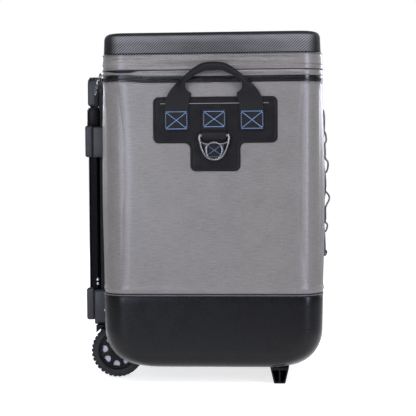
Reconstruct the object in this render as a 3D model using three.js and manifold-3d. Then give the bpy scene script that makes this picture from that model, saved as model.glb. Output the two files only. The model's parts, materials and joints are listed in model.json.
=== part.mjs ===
// Wheeled soft cooler with a telescoping trolley handle, in millimetres, +Z up.
// +X is the front with the bungee lacing, -X the rear with the trolley handle, and the
// two carrying straps are on the -Y (near) and +Y (far) sides. The floor is z = 0.
import * as THREE from 'three';
import { mergeVertices } from 'three/addons/utils/BufferGeometryUtils.js';
import Module from 'manifold-3d';

const wasm = await Module();
wasm.setup();

// ---------------------------------------------------------------- driving dimensions

// Clearances
const seatGap = 0.3; // between pieces that rest on each other
const slideGap = 0.35; // between telescoping tubes, each side
const pinGap = 0.4; // radial, round swinging bars and spinning hubs

// Cooler body
const bodyDepth = 358; // front to back
const bodyWidth = 430; // side to side
const bodyCorner = 40; // radius of the upright corners
const groundClearance = 27;
const baseHeight = 118;
const baseHeel = 61; // radius of the base's lower edge at front and rear
const baseSideRound = 26; // radius of the base's lower edge along the sides
const baseWall = 3;
const baseDraft = 2; // the base narrows this much on each side at its lower edge
const trimHeight = 3; // piping between base and shell
const trimProud = 1;
const shellHeight = 343;
const shellWall = 1.5;
const frontBulge = 3.5; // of the soft shell at mid height
const foamWall = 26;
const linerWall = 1.2;
const floorFoam = 10; // foam between the wheel wells' roof and the liner
const linerCorner = 24;

// Lid
const zipTapeWidth = 10; // both halves together
const zipTapeWall = 2.2;
const zipProud = 1; // the zip stands out from the shell
const hemHeight = 8; // strip between the zip and the fold
const foldHeight = 3; // dark fold under the lid band
const foldDepth = 2.5;
const lidBandHeight = 24.5;
const lidCapHeight = 39.5;
const lidCapInset = 3.3;
const lidCapDraft = 1.4;
const lidCapRound = 14; // radius of the cap's upper edge
const lidCrown = 4;
const lidWall = 3;
const hingePanelWall = 1.4;

// Strap patch, carrying strap and ring, the same on both sides
const patchLength = 199;
const patchArmHeight = 74;
const patchTabWidth = 80.2;
const patchTabDrop = 45;
const patchDrop = 23; // its upper edge below the shell's
const patchOffset = 7.7; // of its centre, towards the front
const strapOffset = 6.2; // of the strap and ring, towards the front
const patchCorner = 9;
const patchWall = 1.6;
const webbingWidth = 38;
const webbingThickness = 2.8;
const strapMargin = 39; // from the patch's ends to the middles of the sewn ends
const strapEndHeight = 31;
const strapEndDrop = 20.5; // tops of the sewn ends below the patch's upper edge
const strapRise = 74; // of the arch above its swing line
const strapGripHeight = 10.5; // the folded middle of the strap
const strapGripWidth = 22;
const strapLean = 13; // the arch stands away from the body at its top
const ringTabWidth = 35;
const ringTabDrop = 22; // its top below the patch's upper edge
const ringBarDrop = 40; // the ring's bar below the top of its tab
const ringTabTail = 36; // the tab goes on below the bar
const ringBarRadius = 2.1;
const ringWidth = 51;
const ringDrop = 39.5; // from the bar to the ring's lowest point
const ringThickness = 4.2;
const ringRim = 3.4;
const ringEyeRadius = 12.6; // inner ring, outside

// Front lacing
const laceLevels = 5;
const lacePitch = 53.6;
const laceDrop = 57; // highest loops below the shell's upper edge
const laceSpread = 105; // from the middle to the centre of each strip
const laceStripWidth = 26;
const laceStripWall = 1.6;
const laceLoopHeight = 14;
const cordRadius = 2;
const cordGap = 0.5;
const laceSlack = [0, 1, 3.5, 1.5]; // how far the upper strand lifts off the lower, from the top down
const tunnelGap = 0.9; // round the cord in its loops
const lockLength = 17;
const lockRadius = 4.5;
const lockDrop = 16; // of the cord lock below the lowest loops

// Trolley handle
const tubeSpread = 104; // from the middle to each tube's centre
const tubeDepth = 18;
const tubeWidth = 28;
const tubeWall = 1.3;
const tubeCorner = 4;
const tubeSetback = 16.8; // from the body's rear face to the outer tube
const tubeRise = 70; // lower end of the outer tube above the base's foot
const spineDrop = 45; // its top below the shell's
const collarHeight = 27;
const collarDrop = 38; // tops of the outer collars below the shell's
const collarWall = 1.8;
const innerCollarHeight = 3;
const neckHeight = 6;
const gripHeight = 49;
const gripDepth = 17.6;
const gripBar = 24; // height of the hand bar
const gripLegWidth = 33;
const gripRound = 7;
const gripFoot = 3.5; // corner radius of the legs at their lower end
const gripBevel = 2.4;
const buttonLength = 46;
const buttonWidth = 8.5;
const buttonProud = 2.6;
const buttonTravel = 4;
const upperBracketHeight = 53;
const upperBracketDrop = 121; // its lower edge below the shell's upper one
const lowerBracketHeight = 54;
const lowerBracketRise = 64; // its lower edge above the base's foot
const bracketProud = 4; // behind the outer tube
const bracketSpread = 130; // half length across the cooler
const bracketSplit = 13.5; // depth of the rear cap
const bracketRound = 4;

// Undercarriage
const wheelRadius = 44.5;
const wheelWidth = 38;
const wheelOuterFace = 135; // from the middle
const axleInset = 14; // the axle, in front of the body's rear face
const wheelGap = 5; // round the tyre in its well
const lugCount = 18;
const lugHeight = 4.5;
const hubRadius = 31;
const hubWidth = 30;
const hubWindows = 8;
const windowOuter = 26; // radius of each window's flat outer edge
const windowInner = 14.6; // radius of its pointed inner end
const windowHalf = 6.2; // half its width at the flat edge
const discThickness = 3;
const axleRadius = 4;
const axleCapRadius = 9;
const carriageWall = 2.6;
const carriageLength = 94; // from the body's rear face to its front edge
const guardHeight = 22; // mudguard between the wheels and the lower bracket
const guardDepth = 20.8; // behind the body's rear face
const footInset = 71; // the stand bar, behind the body's front face
const footShort = 28; // its ends, inside the body's sides
const footTopWidth = 30.8;
const footBottomWidth = 18.3;
const footWall = 2.6;

// ---------------------------------------------------------------- heights and faces

const baseBottom = groundClearance;
const baseTop = baseBottom + baseHeight;
const shellBottom = baseTop + trimHeight;
const shellTop = baseTop + shellHeight;
const zipLine = shellTop + zipTapeWidth / 2;
const zipTop = shellTop + zipTapeWidth;
const hemTop = zipTop + hemHeight;
const bandBottom = hemTop + foldHeight;
const bandTop = bandBottom + lidBandHeight;
const lidTop = bandTop + lidCapHeight;
const halfDepth = bodyDepth / 2;
const halfWidth = bodyWidth / 2;
const linerInset = shellWall + seatGap + foamWall + seatGap; // body face to the liner's outside
const wheelSetback = halfDepth - axleInset;
const carriageReach = halfDepth - carriageLength;
const footSetting = halfDepth - footInset;
const footSpread = halfWidth - footShort;
const wellRadius = wheelRadius + wheelGap;
const wellHalf = wheelWidth / 2 + wheelGap;
const wheelMiddle = wheelOuterFace - wheelWidth / 2;
const wellRoof = wheelRadius + wellRadius;
const linerBottom = wellRoof + baseWall + seatGap + floorFoam;

// Straps, rings and lacing hang from the shell's upper edge.
const patchTop = shellTop - patchDrop;
const strapSpan = patchLength - 2 * strapMargin; // between the middles of the two sewn ends
const strapEndTop = patchTop - strapEndDrop;
const ringTabTop = patchTop - ringTabDrop;
const ringBarHeight = ringTabTop - ringBarDrop;
const ringTabBottom = ringBarHeight - ringTabTail;
const laceTop = shellTop - laceDrop;

// Rear parts hang behind the body's rear face.
const tubeFoot = baseBottom + tubeRise;
const spineTop = shellTop - spineDrop;
const collarTop = shellTop - collarDrop;
const upperBracketBottom = shellTop - upperBracketDrop;
const lowerBracketBottom = baseBottom + lowerBracketRise;
const tubeFront = -halfDepth - tubeSetback;
const tubeMiddle = tubeFront - tubeDepth / 2;
const tubeRear = tubeFront - tubeDepth;
const bracketRear = tubeRear - bracketProud;

// The lacing stands furthest forward.
const laceFace = halfDepth + frontBulge;
const strandPitch = 2 * cordRadius + cordGap; // between crossing strands
const frontReach = laceFace + seatGap + 2 * cordRadius + strandPitch + Math.max(...laceSlack);
const frameShift = -(frontReach + bracketRear) / 2; // puts the origin under the middle of the whole

// ---------------------------------------------------------------- materials

function finish(color, roughness, metalness = 0) {
  return new THREE.MeshStandardMaterial({ color, roughness, metalness });
}

const shellFabric = finish(0x87868c, 0.45);
const bandFabric = finish(0x96938f, 0.45);
const capFoam = finish(0x5a5b5f, 0.4);
const baseRubber = finish(0x2c2c30, 0.6);
const blackPlastic = finish(0x303033, 0.55);
const tubeBlack = finish(0x1c1c1e, 0.35, 0.6);
const patchRubber = finish(0x2a2a2c, 0.6);
const webbing = finish(0x202022, 0.85);
const zipBlack = finish(0x222224, 0.5);
const castSilver = finish(0xb6b0aa, 0.35, 0.9);
const foam = finish(0xd8d5cc, 0.9);
const linerWhite = finish(0xd9dbdd, 0.4);
const tyreRubber = finish(0x1e1e20, 0.8);
const discGrey = finish(0x9a9ba6, 0.5);
const steel = finish(0xa8aaad, 0.3, 1);
const cordBlack = finish(0x161618, 0.8);

// ---------------------------------------------------------------- geometry helpers

/** Points of a rectangle with round corners, anticlockwise from above, at height z. */
function roundedRing(halfX, halfY, radius, z, shiftX = 0, steps = 4) {
  const points = [];
  const corners = [[1, 1, 0], [-1, 1, 1], [-1, -1, 2], [1, -1, 3]];
  for (const [sideX, sideY, quarter] of corners) {
    const r = Math.min(radius, halfX - 0.5, halfY - 0.5);
    for (let i = 0; i <= steps; i++) {
      const angle = (quarter + i / steps) * Math.PI / 2;
      const x = shiftX + sideX * (halfX - r) + r * Math.cos(angle);
      const y = sideY * (halfY - r) + r * Math.sin(angle);
      points.push(new THREE.Vector3(x, y, z));
    }
  }
  return points;
}

/** Skins a list of rings of equal length. Open lists get flat ends, closed ones meet themselves. */
function loft(rings, closed = false) {
  const count = rings[0].length;
  const positions = rings.flat().flatMap((p) => [p.x, p.y, p.z]);
  const faces = [];
  const last = closed ? rings.length : rings.length - 1;
  for (let k = 0; k < last; k++) {
    const low = k * count;
    const high = ((k + 1) % rings.length) * count;
    for (let i = 0; i < count; i++) {
      const j = (i + 1) % count;
      faces.push(low + i, low + j, high + j, low + i, high + j, high + i);
    }
  }
  if (!closed) {
    const top = (rings.length - 1) * count;
    for (let i = 1; i < count - 1; i++) {
      faces.push(0, i + 1, i);
      faces.push(top, top + i, top + i + 1);
    }
  }
  const geometry = new THREE.BufferGeometry();
  geometry.setAttribute('position', new THREE.Float32BufferAttribute(positions, 3));
  geometry.setIndex(faces);
  return geometry;
}

/** A closed outline from straight points and rounded corners: each point is [x, y, radius]. */
function roundedOutline(points, steps = 4) {
  const outline = [];
  points.forEach(([x, y, radius = 0], i) => {
    if (radius === 0) {
      outline.push(new THREE.Vector2(x, y));
      return;
    }
    const here = new THREE.Vector2(x, y);
    const before = points[(i + points.length - 1) % points.length];
    const after = points[(i + 1) % points.length];
    const toBefore = new THREE.Vector2(before[0] - x, before[1] - y).normalize();
    const toAfter = new THREE.Vector2(after[0] - x, after[1] - y).normalize();
    const half = Math.acos(THREE.MathUtils.clamp(toBefore.dot(toAfter), -1, 1)) / 2;
    const middle = toBefore.clone().add(toAfter).normalize();
    const centre = here.clone().addScaledVector(middle, radius / Math.sin(half));
    const start = here.clone().addScaledVector(toBefore, radius / Math.tan(half)).sub(centre);
    const end = here.clone().addScaledVector(toAfter, radius / Math.tan(half)).sub(centre);
    const from = start.angle();
    let turn = end.angle() - from;
    if (turn > Math.PI) turn -= 2 * Math.PI;
    if (turn < -Math.PI) turn += 2 * Math.PI;
    for (let k = 0; k <= steps; k++) {
      const angle = from + turn * k / steps;
      const at = new THREE.Vector2(Math.cos(angle), Math.sin(angle));
      outline.push(centre.clone().addScaledVector(at, radius));
    }
  });
  return outline;
}

/** Extrudes an outline (with optional holes) by depth along +Z, centred on z = 0. */
function plate(outline, depth, holes = [], bevel = 0) {
  const shape = new THREE.Shape(outline);
  shape.holes = holes.map((hole) => new THREE.Path(hole));
  const geometry = new THREE.ExtrudeGeometry(shape, {
    depth: depth - 2 * bevel,
    bevelEnabled: bevel > 0,
    bevelThickness: bevel,
    bevelSize: bevel,
    bevelOffset: -bevel,
    bevelSegments: 1,
  });
  return geometry.translate(0, 0, bevel - depth / 2);
}

/** Turns a plate drawn in x-z so that its thickness lies along y. */
function facingSide(geometry) {
  return geometry.rotateX(Math.PI / 2);
}

/** Turns a plate drawn in y-z so that its thickness lies along x. */
function facingFront(geometry) {
  return geometry.rotateX(Math.PI / 2).rotateZ(Math.PI / 2);
}

function box(lowX, highX, lowY, highY, lowZ, highZ) {
  const geometry = new THREE.BoxGeometry(highX - lowX, highY - lowY, highZ - lowZ);
  return geometry.translate((lowX + highX) / 2, (lowY + highY) / 2, (lowZ + highZ) / 2);
}

/** A cylinder along y between two places. */
function barAlongY(radius, x, z, lowY, highY, sides = 24) {
  const geometry = new THREE.CylinderGeometry(radius, radius, highY - lowY, sides);
  return geometry.translate(x, (lowY + highY) / 2, z);
}

function circle(radius, steps, x = 0, y = 0) {
  const points = [];
  for (let i = 0; i < steps; i++) {
    const angle = 2 * Math.PI * i / steps;
    points.push(new THREE.Vector2(x + radius * Math.cos(angle), y + radius * Math.sin(angle)));
  }
  return points;
}

function toSolid(geometry) {
  const bare = geometry.index ? geometry.clone() : geometry;
  for (const name of Object.keys(bare.attributes)) {
    if (name !== 'position') bare.deleteAttribute(name);
  }
  const merged = mergeVertices(bare, 1e-4);
  const mesh = new wasm.Mesh({
    numProp: 3,
    vertProperties: new Float32Array(merged.attributes.position.array),
    triVerts: new Uint32Array(merged.index.array),
  });
  return new wasm.Manifold(mesh);
}

function toGeometry(solid) {
  const mesh = solid.getMesh();
  const positions = [];
  for (let i = 0; i < mesh.vertProperties.length; i += mesh.numProp) {
    positions.push(...mesh.vertProperties.slice(i, i + 3));
  }
  const geometry = new THREE.BufferGeometry();
  geometry.setAttribute('position', new THREE.Float32BufferAttribute(positions, 3));
  geometry.setIndex([...mesh.triVerts]);
  return geometry;
}

function cut(geometry, ...tools) {
  return toGeometry(tools.reduce((solid, tool) => solid.subtract(toSolid(tool)), toSolid(geometry)));
}

function join(geometry, ...others) {
  return toGeometry(others.reduce((solid, other) => solid.add(toSolid(other)), toSolid(geometry)));
}

function keep(geometry, tool) {
  return toGeometry(toSolid(geometry).intersect(toSolid(tool)));
}

const cooler = new THREE.Group();
cooler.position.x = frameShift;

function place(name, geometry, material) {
  const mesh = new THREE.Mesh(geometry, material);
  mesh.name = name;
  cooler.add(mesh);
  return mesh;
}

/** Makes a piece on the near side and its mirror image on the far side. */
function placeBothSides(name, makeGeometry, material) {
  place(`${name}_near`, makeGeometry(), material);
  const mirrored = toSolid(makeGeometry()).mirror([0, 1, 0]);
  place(`${name}_far`, toGeometry(mirrored), material);
}

// ---------------------------------------------------------------- base and shell

/** How far a lower edge of the given radius draws in at a height above its foot. */
function edgeInset(radius, height) {
  if (height >= radius) return 0;
  return radius - Math.sqrt(radius ** 2 - (radius - height) ** 2);
}

/** One ring of the base at a height above its foot, moved in by a wall. */
function baseRing(height, inset) {
  const heel = baseHeel - inset;
  const side = Math.max(baseSideRound - inset, 1);
  const draft = baseDraft * (1 - height / (baseHeight - inset));
  const halfX = halfDepth - inset - draft - edgeInset(heel, height);
  const halfY = halfWidth - inset - draft - edgeInset(side, height);
  return roundedRing(halfX, halfY, bodyCorner - inset, baseBottom + inset + height);
}

/** The base's rings from its foot up to a height, moved in by a wall. */
function baseRings(inset, top = baseTop) {
  const steps = 5;
  const heel = baseHeel - inset;
  const rings = [];
  for (let i = 0; i <= steps; i++) {
    rings.push(baseRing(heel * (1 - Math.cos(i / steps * Math.PI / 2)), inset));
  }
  rings.push(baseRing(top - baseBottom - inset, inset));
  return rings;
}

/** How far the soft shell's front swells at a height. */
function bulgeAt(z) {
  const along = (z - baseTop) / shellHeight;
  return along <= 0 || along >= 1 ? 0 : frontBulge * Math.sin(along * Math.PI);
}

/** A ring of the shell at a height, moved in by a wall. The front swells, the rear stays flat. */
function shellRing(z, inset) {
  const bulge = bulgeAt(z);
  return roundedRing(halfDepth - inset + bulge / 2, halfWidth - inset, bodyCorner - inset, z, bulge / 2);
}

const shellLevels = [shellBottom];
for (let i = 1; i < 6; i++) shellLevels.push(baseTop + i / 6 * shellHeight);
shellLevels.push(shellTop);

/** A wheel well or axle channel: a round bar across the cooler. */
function wellBar(radius, lowY, highY) {
  return barAlongY(radius, -wheelSetback, wheelRadius, lowY, highY, 24);
}

const bossRadius = 10;
const bossHalf = wheelMiddle - wellHalf;

/** The wells of both wheels and the axle's channel, grown by a wall. */
function wells(wall) {
  return [
    wellBar(wellRadius + wall, -wheelMiddle - wellHalf - wall, -wheelMiddle + wellHalf + wall),
    wellBar(wellRadius + wall, wheelMiddle - wellHalf - wall, wheelMiddle + wellHalf + wall),
    wellBar(bossRadius + seatGap + wall, -bossHalf, bossHalf),
  ];
}

function baseTub() {
  const cup = loft([...baseRings(0), ...baseRings(baseWall).reverse()]);
  const block = loft(baseRings(0));
  const walls = wells(baseWall).map((well) => keep(well, block));
  return cut(join(cup, ...walls), ...wells(0));
}

function outerShell() {
  const outside = shellLevels.map((z) => shellRing(z, 0));
  const inside = shellLevels.map((z) => shellRing(z, shellWall)).reverse();
  return loft([...outside, ...inside], true);
}

/** The piping that covers the seam between base and shell. */
function baseTrim() {
  const low = baseTop + seatGap / 2;
  const high = shellBottom - seatGap / 2;
  const middle = (low + high) / 2;
  const ring = (z, inset) => roundedRing(halfDepth - inset, halfWidth - inset, bodyCorner - inset, z);
  return loft([
    ring(low, 0),
    ring(middle, -trimProud),
    ring(high, 0),
    ring(high, shellWall),
    ring(low, shellWall),
  ], true);
}

const rimTop = zipLine - seatGap / 2;
const rimBottom = rimTop - linerWall;

/** Insulation in one piece: four walls and a thick floor with room for the wheel wells. */
function bodyFoam() {
  const inset = baseWall + seatGap;
  const shellInset = shellWall + seatGap;
  const hollow = linerInset - seatGap;
  const inner = (z) => roundedRing(halfDepth - hollow, halfWidth - hollow, linerCorner, z);
  const cup = loft([
    ...baseRings(inset, baseTop),
    ...shellLevels.slice(1, -1).map((z) => shellRing(z, shellInset)),
    shellRing(rimBottom - seatGap, shellInset),
    inner(rimBottom - seatGap),
    inner(linerBottom - seatGap),
  ]);
  return cut(cup, ...wells(baseWall + seatGap));
}

/** The liner: a thin tub with a flange that covers the top of the foam. */
function innerLiner() {
  const tub = (inset, z) => roundedRing(halfDepth - inset, halfWidth - inset, linerCorner, z);
  const flange = (z) => roundedRing(
    halfDepth - shellWall - seatGap,
    halfWidth - shellWall - seatGap,
    bodyCorner - shellWall - seatGap,
    z,
  );
  return loft([
    tub(linerInset, linerBottom),
    tub(linerInset, rimBottom),
    flange(rimBottom),
    flange(rimTop),
    tub(linerInset + linerWall, rimTop),
    tub(linerInset + linerWall, linerBottom + linerWall),
  ]);
}

// ---------------------------------------------------------------- zip and lid

const hingeHalf = halfWidth - bodyCorner - 5; // half length of the cloth hinge
const zipInner = zipTapeWall - zipProud;

/** Cuts away what would stand where the rear hinge panel stands. */
function hingeCut(lowZ, highZ) {
  const deep = halfDepth - bodyCorner / 4;
  const reach = hingeHalf + seatGap;
  return box(-halfDepth - bodyCorner, -deep, -reach, reach, lowZ, highZ);
}

/** One half of the zip: a band round three sides that swells towards its teeth. */
function zipTape(low, high) {
  const ring = (z, inset) => roundedRing(halfDepth - inset, halfWidth - inset, bodyCorner - inset, z);
  const middle = (low + high) / 2;
  const band = loft([
    ring(low, 0),
    ring(middle, -zipProud),
    ring(high, 0),
    ring(high, zipInner),
    ring(low, zipInner),
  ], true);
  return cut(band, hingeCut(low - 1, high + 1));
}

/** The upright strip of shell cloth at the rear that the lid turns on. */
function hingePanel() {
  const low = shellTop + seatGap;
  const high = bandBottom - seatGap;
  const outside = -halfDepth - hingePanelWall / 2;
  return box(outside, outside + hingePanelWall, -hingeHalf, hingeHalf, low, high);
}

/** The lid's cloth side: hem, dark fold and the wide band above it. */
function lidBand() {
  const ring = (z, inset) => roundedRing(halfDepth - inset, halfWidth - inset, bodyCorner - inset, z);
  const low = zipTop + seatGap;
  const high = bandTop;
  const inner = foldDepth + shellWall;
  const band = loft([
    ring(low, 0),
    ring(hemTop, 0),
    ring(hemTop + foldHeight / 3, foldDepth),
    ring(bandBottom - foldHeight / 3, foldDepth),
    ring(bandBottom + seatGap, -zipProud),
    ring((bandBottom + high) / 2, -zipProud),
    ring(high, 0),
    ring(high, inner),
    ring(low, inner),
  ], true);
  return cut(band, hingeCut(low - 1, bandBottom + seatGap));
}

/** A ring of the lid's cap at a height, moved in from the band's face. */
function capRing(z, inset) {
  return roundedRing(halfDepth - inset, halfWidth - inset, Math.max(bodyCorner - inset, lidCapRound), z);
}

/** The cap's outside or inside from its rim up over the round edge to the crown. */
function capRings(wall) {
  const low = bandTop + seatGap;
  const side = lidCapInset + wall;
  const edge = lidTop - lidCrown - wall;
  const round = lidCapRound - wall;
  const rings = [capRing(low, side)];
  const steps = 4;
  for (let i = 0; i <= steps; i++) {
    const angle = i / steps * Math.PI / 2;
    const inset = side + lidCapDraft + round * (1 - Math.cos(angle));
    rings.push(capRing(edge - round * (1 - Math.sin(angle)), inset));
  }
  rings.push(capRing(edge + lidCrown * 0.7, side + halfDepth / 3));
  rings.push(capRing(edge + lidCrown, side + halfDepth * 0.7));
  return rings;
}

function lidCap() {
  return loft([...capRings(lidWall).reverse(), ...capRings(0)]);
}

/** The lid's insulation, which fills the band and the cap. */
function lidFoam() {
  const low = zipLine + seatGap / 2 + linerWall + seatGap;
  const inBand = foldDepth + shellWall + seatGap;
  const cap = capRings(lidWall + seatGap);
  return loft([capRing(low, inBand), capRing(bandTop - seatGap, inBand), ...cap.slice(0, -2)]);
}

/** The white panel that closes the lid from below. */
function lidLiner() {
  const low = zipLine + seatGap / 2;
  const inset = shellWall + seatGap;
  return loft([capRing(low, inset), capRing(low + linerWall, inset)]);
}

place('base_tub', baseTub(), baseRubber);
place('base_trim', baseTrim(), shellFabric);
place('outer_shell', outerShell(), shellFabric);
place('body_foam', bodyFoam(), foam);
place('inner_liner', innerLiner(), linerWhite);
place('zip_tape_body', zipTape(shellTop + seatGap, rimTop), zipBlack);
place('hinge_panel', hingePanel(), shellFabric);
place('zip_tape_lid', zipTape(zipLine + seatGap / 2, zipTop), zipBlack);
place('lid_band', lidBand(), bandFabric);
place('lid_cap', lidCap(), capFoam);
place('lid_foam', lidFoam(), foam);
place('lid_liner', lidLiner(), linerWhite);

// ---------------------------------------------------------------- straps, rings and patches

const patchFace = halfWidth + seatGap + patchWall; // distance of the patch's outside from the middle
const strapMiddle = patchFace + seatGap + webbingThickness / 2;
const strapFoot = strapEndTop + seatGap;

/** Moves a piece drawn about y = 0 to the near side at a distance from the middle. */
function onNearSide(geometry, distance) {
  return geometry.translate(0, -distance, 0);
}

/** The T-shaped patch that spreads the strap's load. */
function strapPatch() {
  const left = patchOffset - patchLength / 2;
  const right = patchOffset + patchLength / 2;
  const tabLeft = patchOffset - patchTabWidth / 2;
  const tabRight = patchOffset + patchTabWidth / 2;
  const armBottom = patchTop - patchArmHeight;
  const tabBottom = armBottom - patchTabDrop;
  const outline = roundedOutline([
    [left, patchTop, patchCorner],
    [left, armBottom, patchCorner],
    [tabLeft, armBottom, patchCorner],
    [tabLeft, tabBottom, patchCorner],
    [tabRight, tabBottom, patchCorner],
    [tabRight, armBottom, patchCorner],
    [right, armBottom, patchCorner],
    [right, patchTop, patchCorner],
  ]);
  return onNearSide(facingSide(plate(outline, patchWall)), halfWidth + seatGap + patchWall / 2);
}

/** A sewn end of the carrying strap. side is -1 for the rear end and 1 for the front one. */
function strapEnd(side) {
  const x = strapOffset + side * strapSpan / 2;
  const half = webbingWidth / 2;
  const outline = roundedOutline([
    [x - half, strapEndTop],
    [x - half, strapEndTop - strapEndHeight, 1.5],
    [x + half, strapEndTop - strapEndHeight, 1.5],
    [x + half, strapEndTop],
  ], 2);
  return onNearSide(facingSide(plate(outline, webbingThickness)), strapMiddle);
}

/** The arch of the strap: flat webbing at its feet, folded into a thick grip at its top. */
function strapArch() {
  const half = strapSpan / 2;
  // across from the middle, up from the foot, lean, half height and half width of the section
  const stations = [
    [1, 0, 0, webbingWidth / 2, webbingThickness / 2],
    [0.95, 0.2, 0.1, webbingWidth * 0.48, webbingThickness * 0.8],
    [0.83, 0.47, 0.45, webbingWidth * 0.36, strapGripWidth * 0.26],
    [0.62, 0.74, 0.8, webbingWidth * 0.2, strapGripWidth * 0.42],
    [0.33, 0.94, 1, strapGripHeight * 0.52, strapGripWidth / 2],
    [0, 1, 1, strapGripHeight / 2, strapGripWidth / 2],
  ];
  const rise = strapRise - strapGripHeight / 2;
  const otherHalf = stations.slice(0, -1).reverse().map(([across, ...rest]) => [-across, ...rest]);
  const all = [...stations, ...otherHalf];
  const centre = new THREE.CatmullRomCurve3(all.map(([across, up, lean]) => new THREE.Vector3(
    strapOffset - across * half,
    -lean * strapLean,
    strapFoot + up * rise,
  )));
  const size = new THREE.CatmullRomCurve3(all.map(([, , , high, wide]) => new THREE.Vector3(high, wide, 0)));
  const steps = 16;
  const sides = 10;
  const rings = [];
  for (let k = 0; k <= steps; k++) {
    const at = centre.getPoint(k / steps);
    const along = centre.getTangent(k / steps);
    along.y = 0;
    if (k === 0 || k === steps) along.set(0, 0, k === 0 ? 1 : -1);
    along.normalize();
    const out = new THREE.Vector3(-along.z, 0, along.x);
    const { x: high, y: wide } = size.getPoint(k / steps);
    rings.push(circle(1, sides).map(({ x, y }) => {
      const square = 0.55; // under 1 fills the section out towards a rectangle
      const u = Math.sign(x) * Math.abs(x) ** square * high;
      const v = Math.sign(y) * Math.abs(y) ** square * wide;
      return new THREE.Vector3(at.x + out.x * u, at.y - v, at.z + out.z * u);
    }));
  }
  return onNearSide(loft(rings), strapMiddle);
}

const barSetting = seatGap + 2 * patchWall + pinGap + ringBarRadius; // bar's centre from the patch
const ringFace = patchFace + barSetting;

/** The webbing tab that holds the ring's bar in a loop and is sewn down above and below it. */
function ringTab() {
  const back = seatGap;
  const front = back + patchWall;
  const loopOuter = ringBarRadius + pinGap + patchWall;
  const loop = [];
  const steps = 6;
  for (let i = 0; i <= steps; i++) {
    const angle = -Math.PI / 2 + i / steps * Math.PI;
    const out = barSetting + loopOuter * Math.cos(angle) * 0.98;
    loop.push(new THREE.Vector2(out, ringBarHeight + loopOuter * Math.sin(angle)));
  }
  const outline = [
    new THREE.Vector2(back, ringTabBottom),
    new THREE.Vector2(front, ringTabBottom),
    new THREE.Vector2(front, ringBarHeight - loopOuter - patchWall),
    ...loop,
    new THREE.Vector2(front, ringBarHeight + loopOuter + 2 * patchWall),
    new THREE.Vector2(front, ringTabTop),
    new THREE.Vector2(back, ringTabTop),
  ];
  const eye = circle(ringBarRadius + pinGap, 12, barSetting, ringBarHeight);
  const tab = facingFront(plate(outline, ringTabWidth, [eye]));
  tab.rotateZ(Math.PI); // the profile's depth now points to -y
  return tab.translate(strapOffset, -patchFace, 0);
}

/** The cast ring: an outer bow, a round eye inside it, two struts and the bar it hangs by. */
function castRing() {
  const halfWide = ringWidth / 2;
  const bow = (inset, low) => {
    const points = [];
    for (let i = 0; i <= 12; i++) {
      const angle = Math.PI + i / 12 * Math.PI;
      points.push(new THREE.Vector2(
        (halfWide - inset) * Math.cos(angle),
        ringBarHeight + (low - inset) * Math.sin(angle),
      ));
    }
    const top = ringBarHeight + ringBarRadius;
    points.push(new THREE.Vector2(halfWide - inset, top), new THREE.Vector2(inset - halfWide, top));
    return points;
  };
  const solid = (outline, depth = ringThickness, holes = []) => facingSide(plate(outline, depth, holes));
  const outer = cut(solid(bow(0, ringDrop)), solid(bow(ringRim, ringDrop), 2 * ringThickness));
  const eyeHeight = ringBarHeight - ringDrop + ringEyeRadius;
  const eye = solid(circle(ringEyeRadius, 18, 0, eyeHeight), ringThickness, [
    circle(ringEyeRadius - ringRim, 14, 0, eyeHeight),
  ]);
  const strutLength = ringEyeRadius * 0.85;
  const pieces = [eye];
  for (const side of [-1, 1]) {
    const strut = new THREE.BoxGeometry(strutLength, ringThickness, ringRim);
    strut.rotateY(-side * Math.PI / 6);
    const strutX = side * (halfWide + ringEyeRadius - ringRim) / 2;
    strut.translate(strutX, 0, eyeHeight + ringEyeRadius * 0.75);
    pieces.push(strut);
  }
  const bar = new THREE.CylinderGeometry(ringBarRadius, ringBarRadius, ringWidth - ringRim, 10);
  bar.rotateZ(Math.PI / 2).translate(0, 0, ringBarHeight);
  return join(outer, ...pieces, bar).translate(strapOffset, -ringFace, 0);
}

placeBothSides('strap_patch', strapPatch, patchRubber);
placeBothSides('strap_end_rear', () => strapEnd(-1), webbing);
placeBothSides('strap_end_front', () => strapEnd(1), webbing);
placeBothSides('strap_arch', strapArch, webbing);
placeBothSides('ring_tab', ringTab, webbing);
placeBothSides('ring', castRing, castSilver);

// ---------------------------------------------------------------- front lacing

const laceTunnel = 2 * (cordRadius + tunnelGap);
const laceBottom = laceTop - (laceLevels - 1) * lacePitch;
const laceMargin = 12; // of each strip beyond its end loops

/** The shell's front face at a height, between two of its levels. */
function frontFace(z) {
  const above = shellLevels.findIndex((level) => level > z);
  const [low, high] = [shellLevels[above - 1], shellLevels[above]];
  const share = (z - low) / (high - low);
  return halfDepth + bulgeAt(low) * (1 - share) + bulgeAt(high) * share;
}

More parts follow.
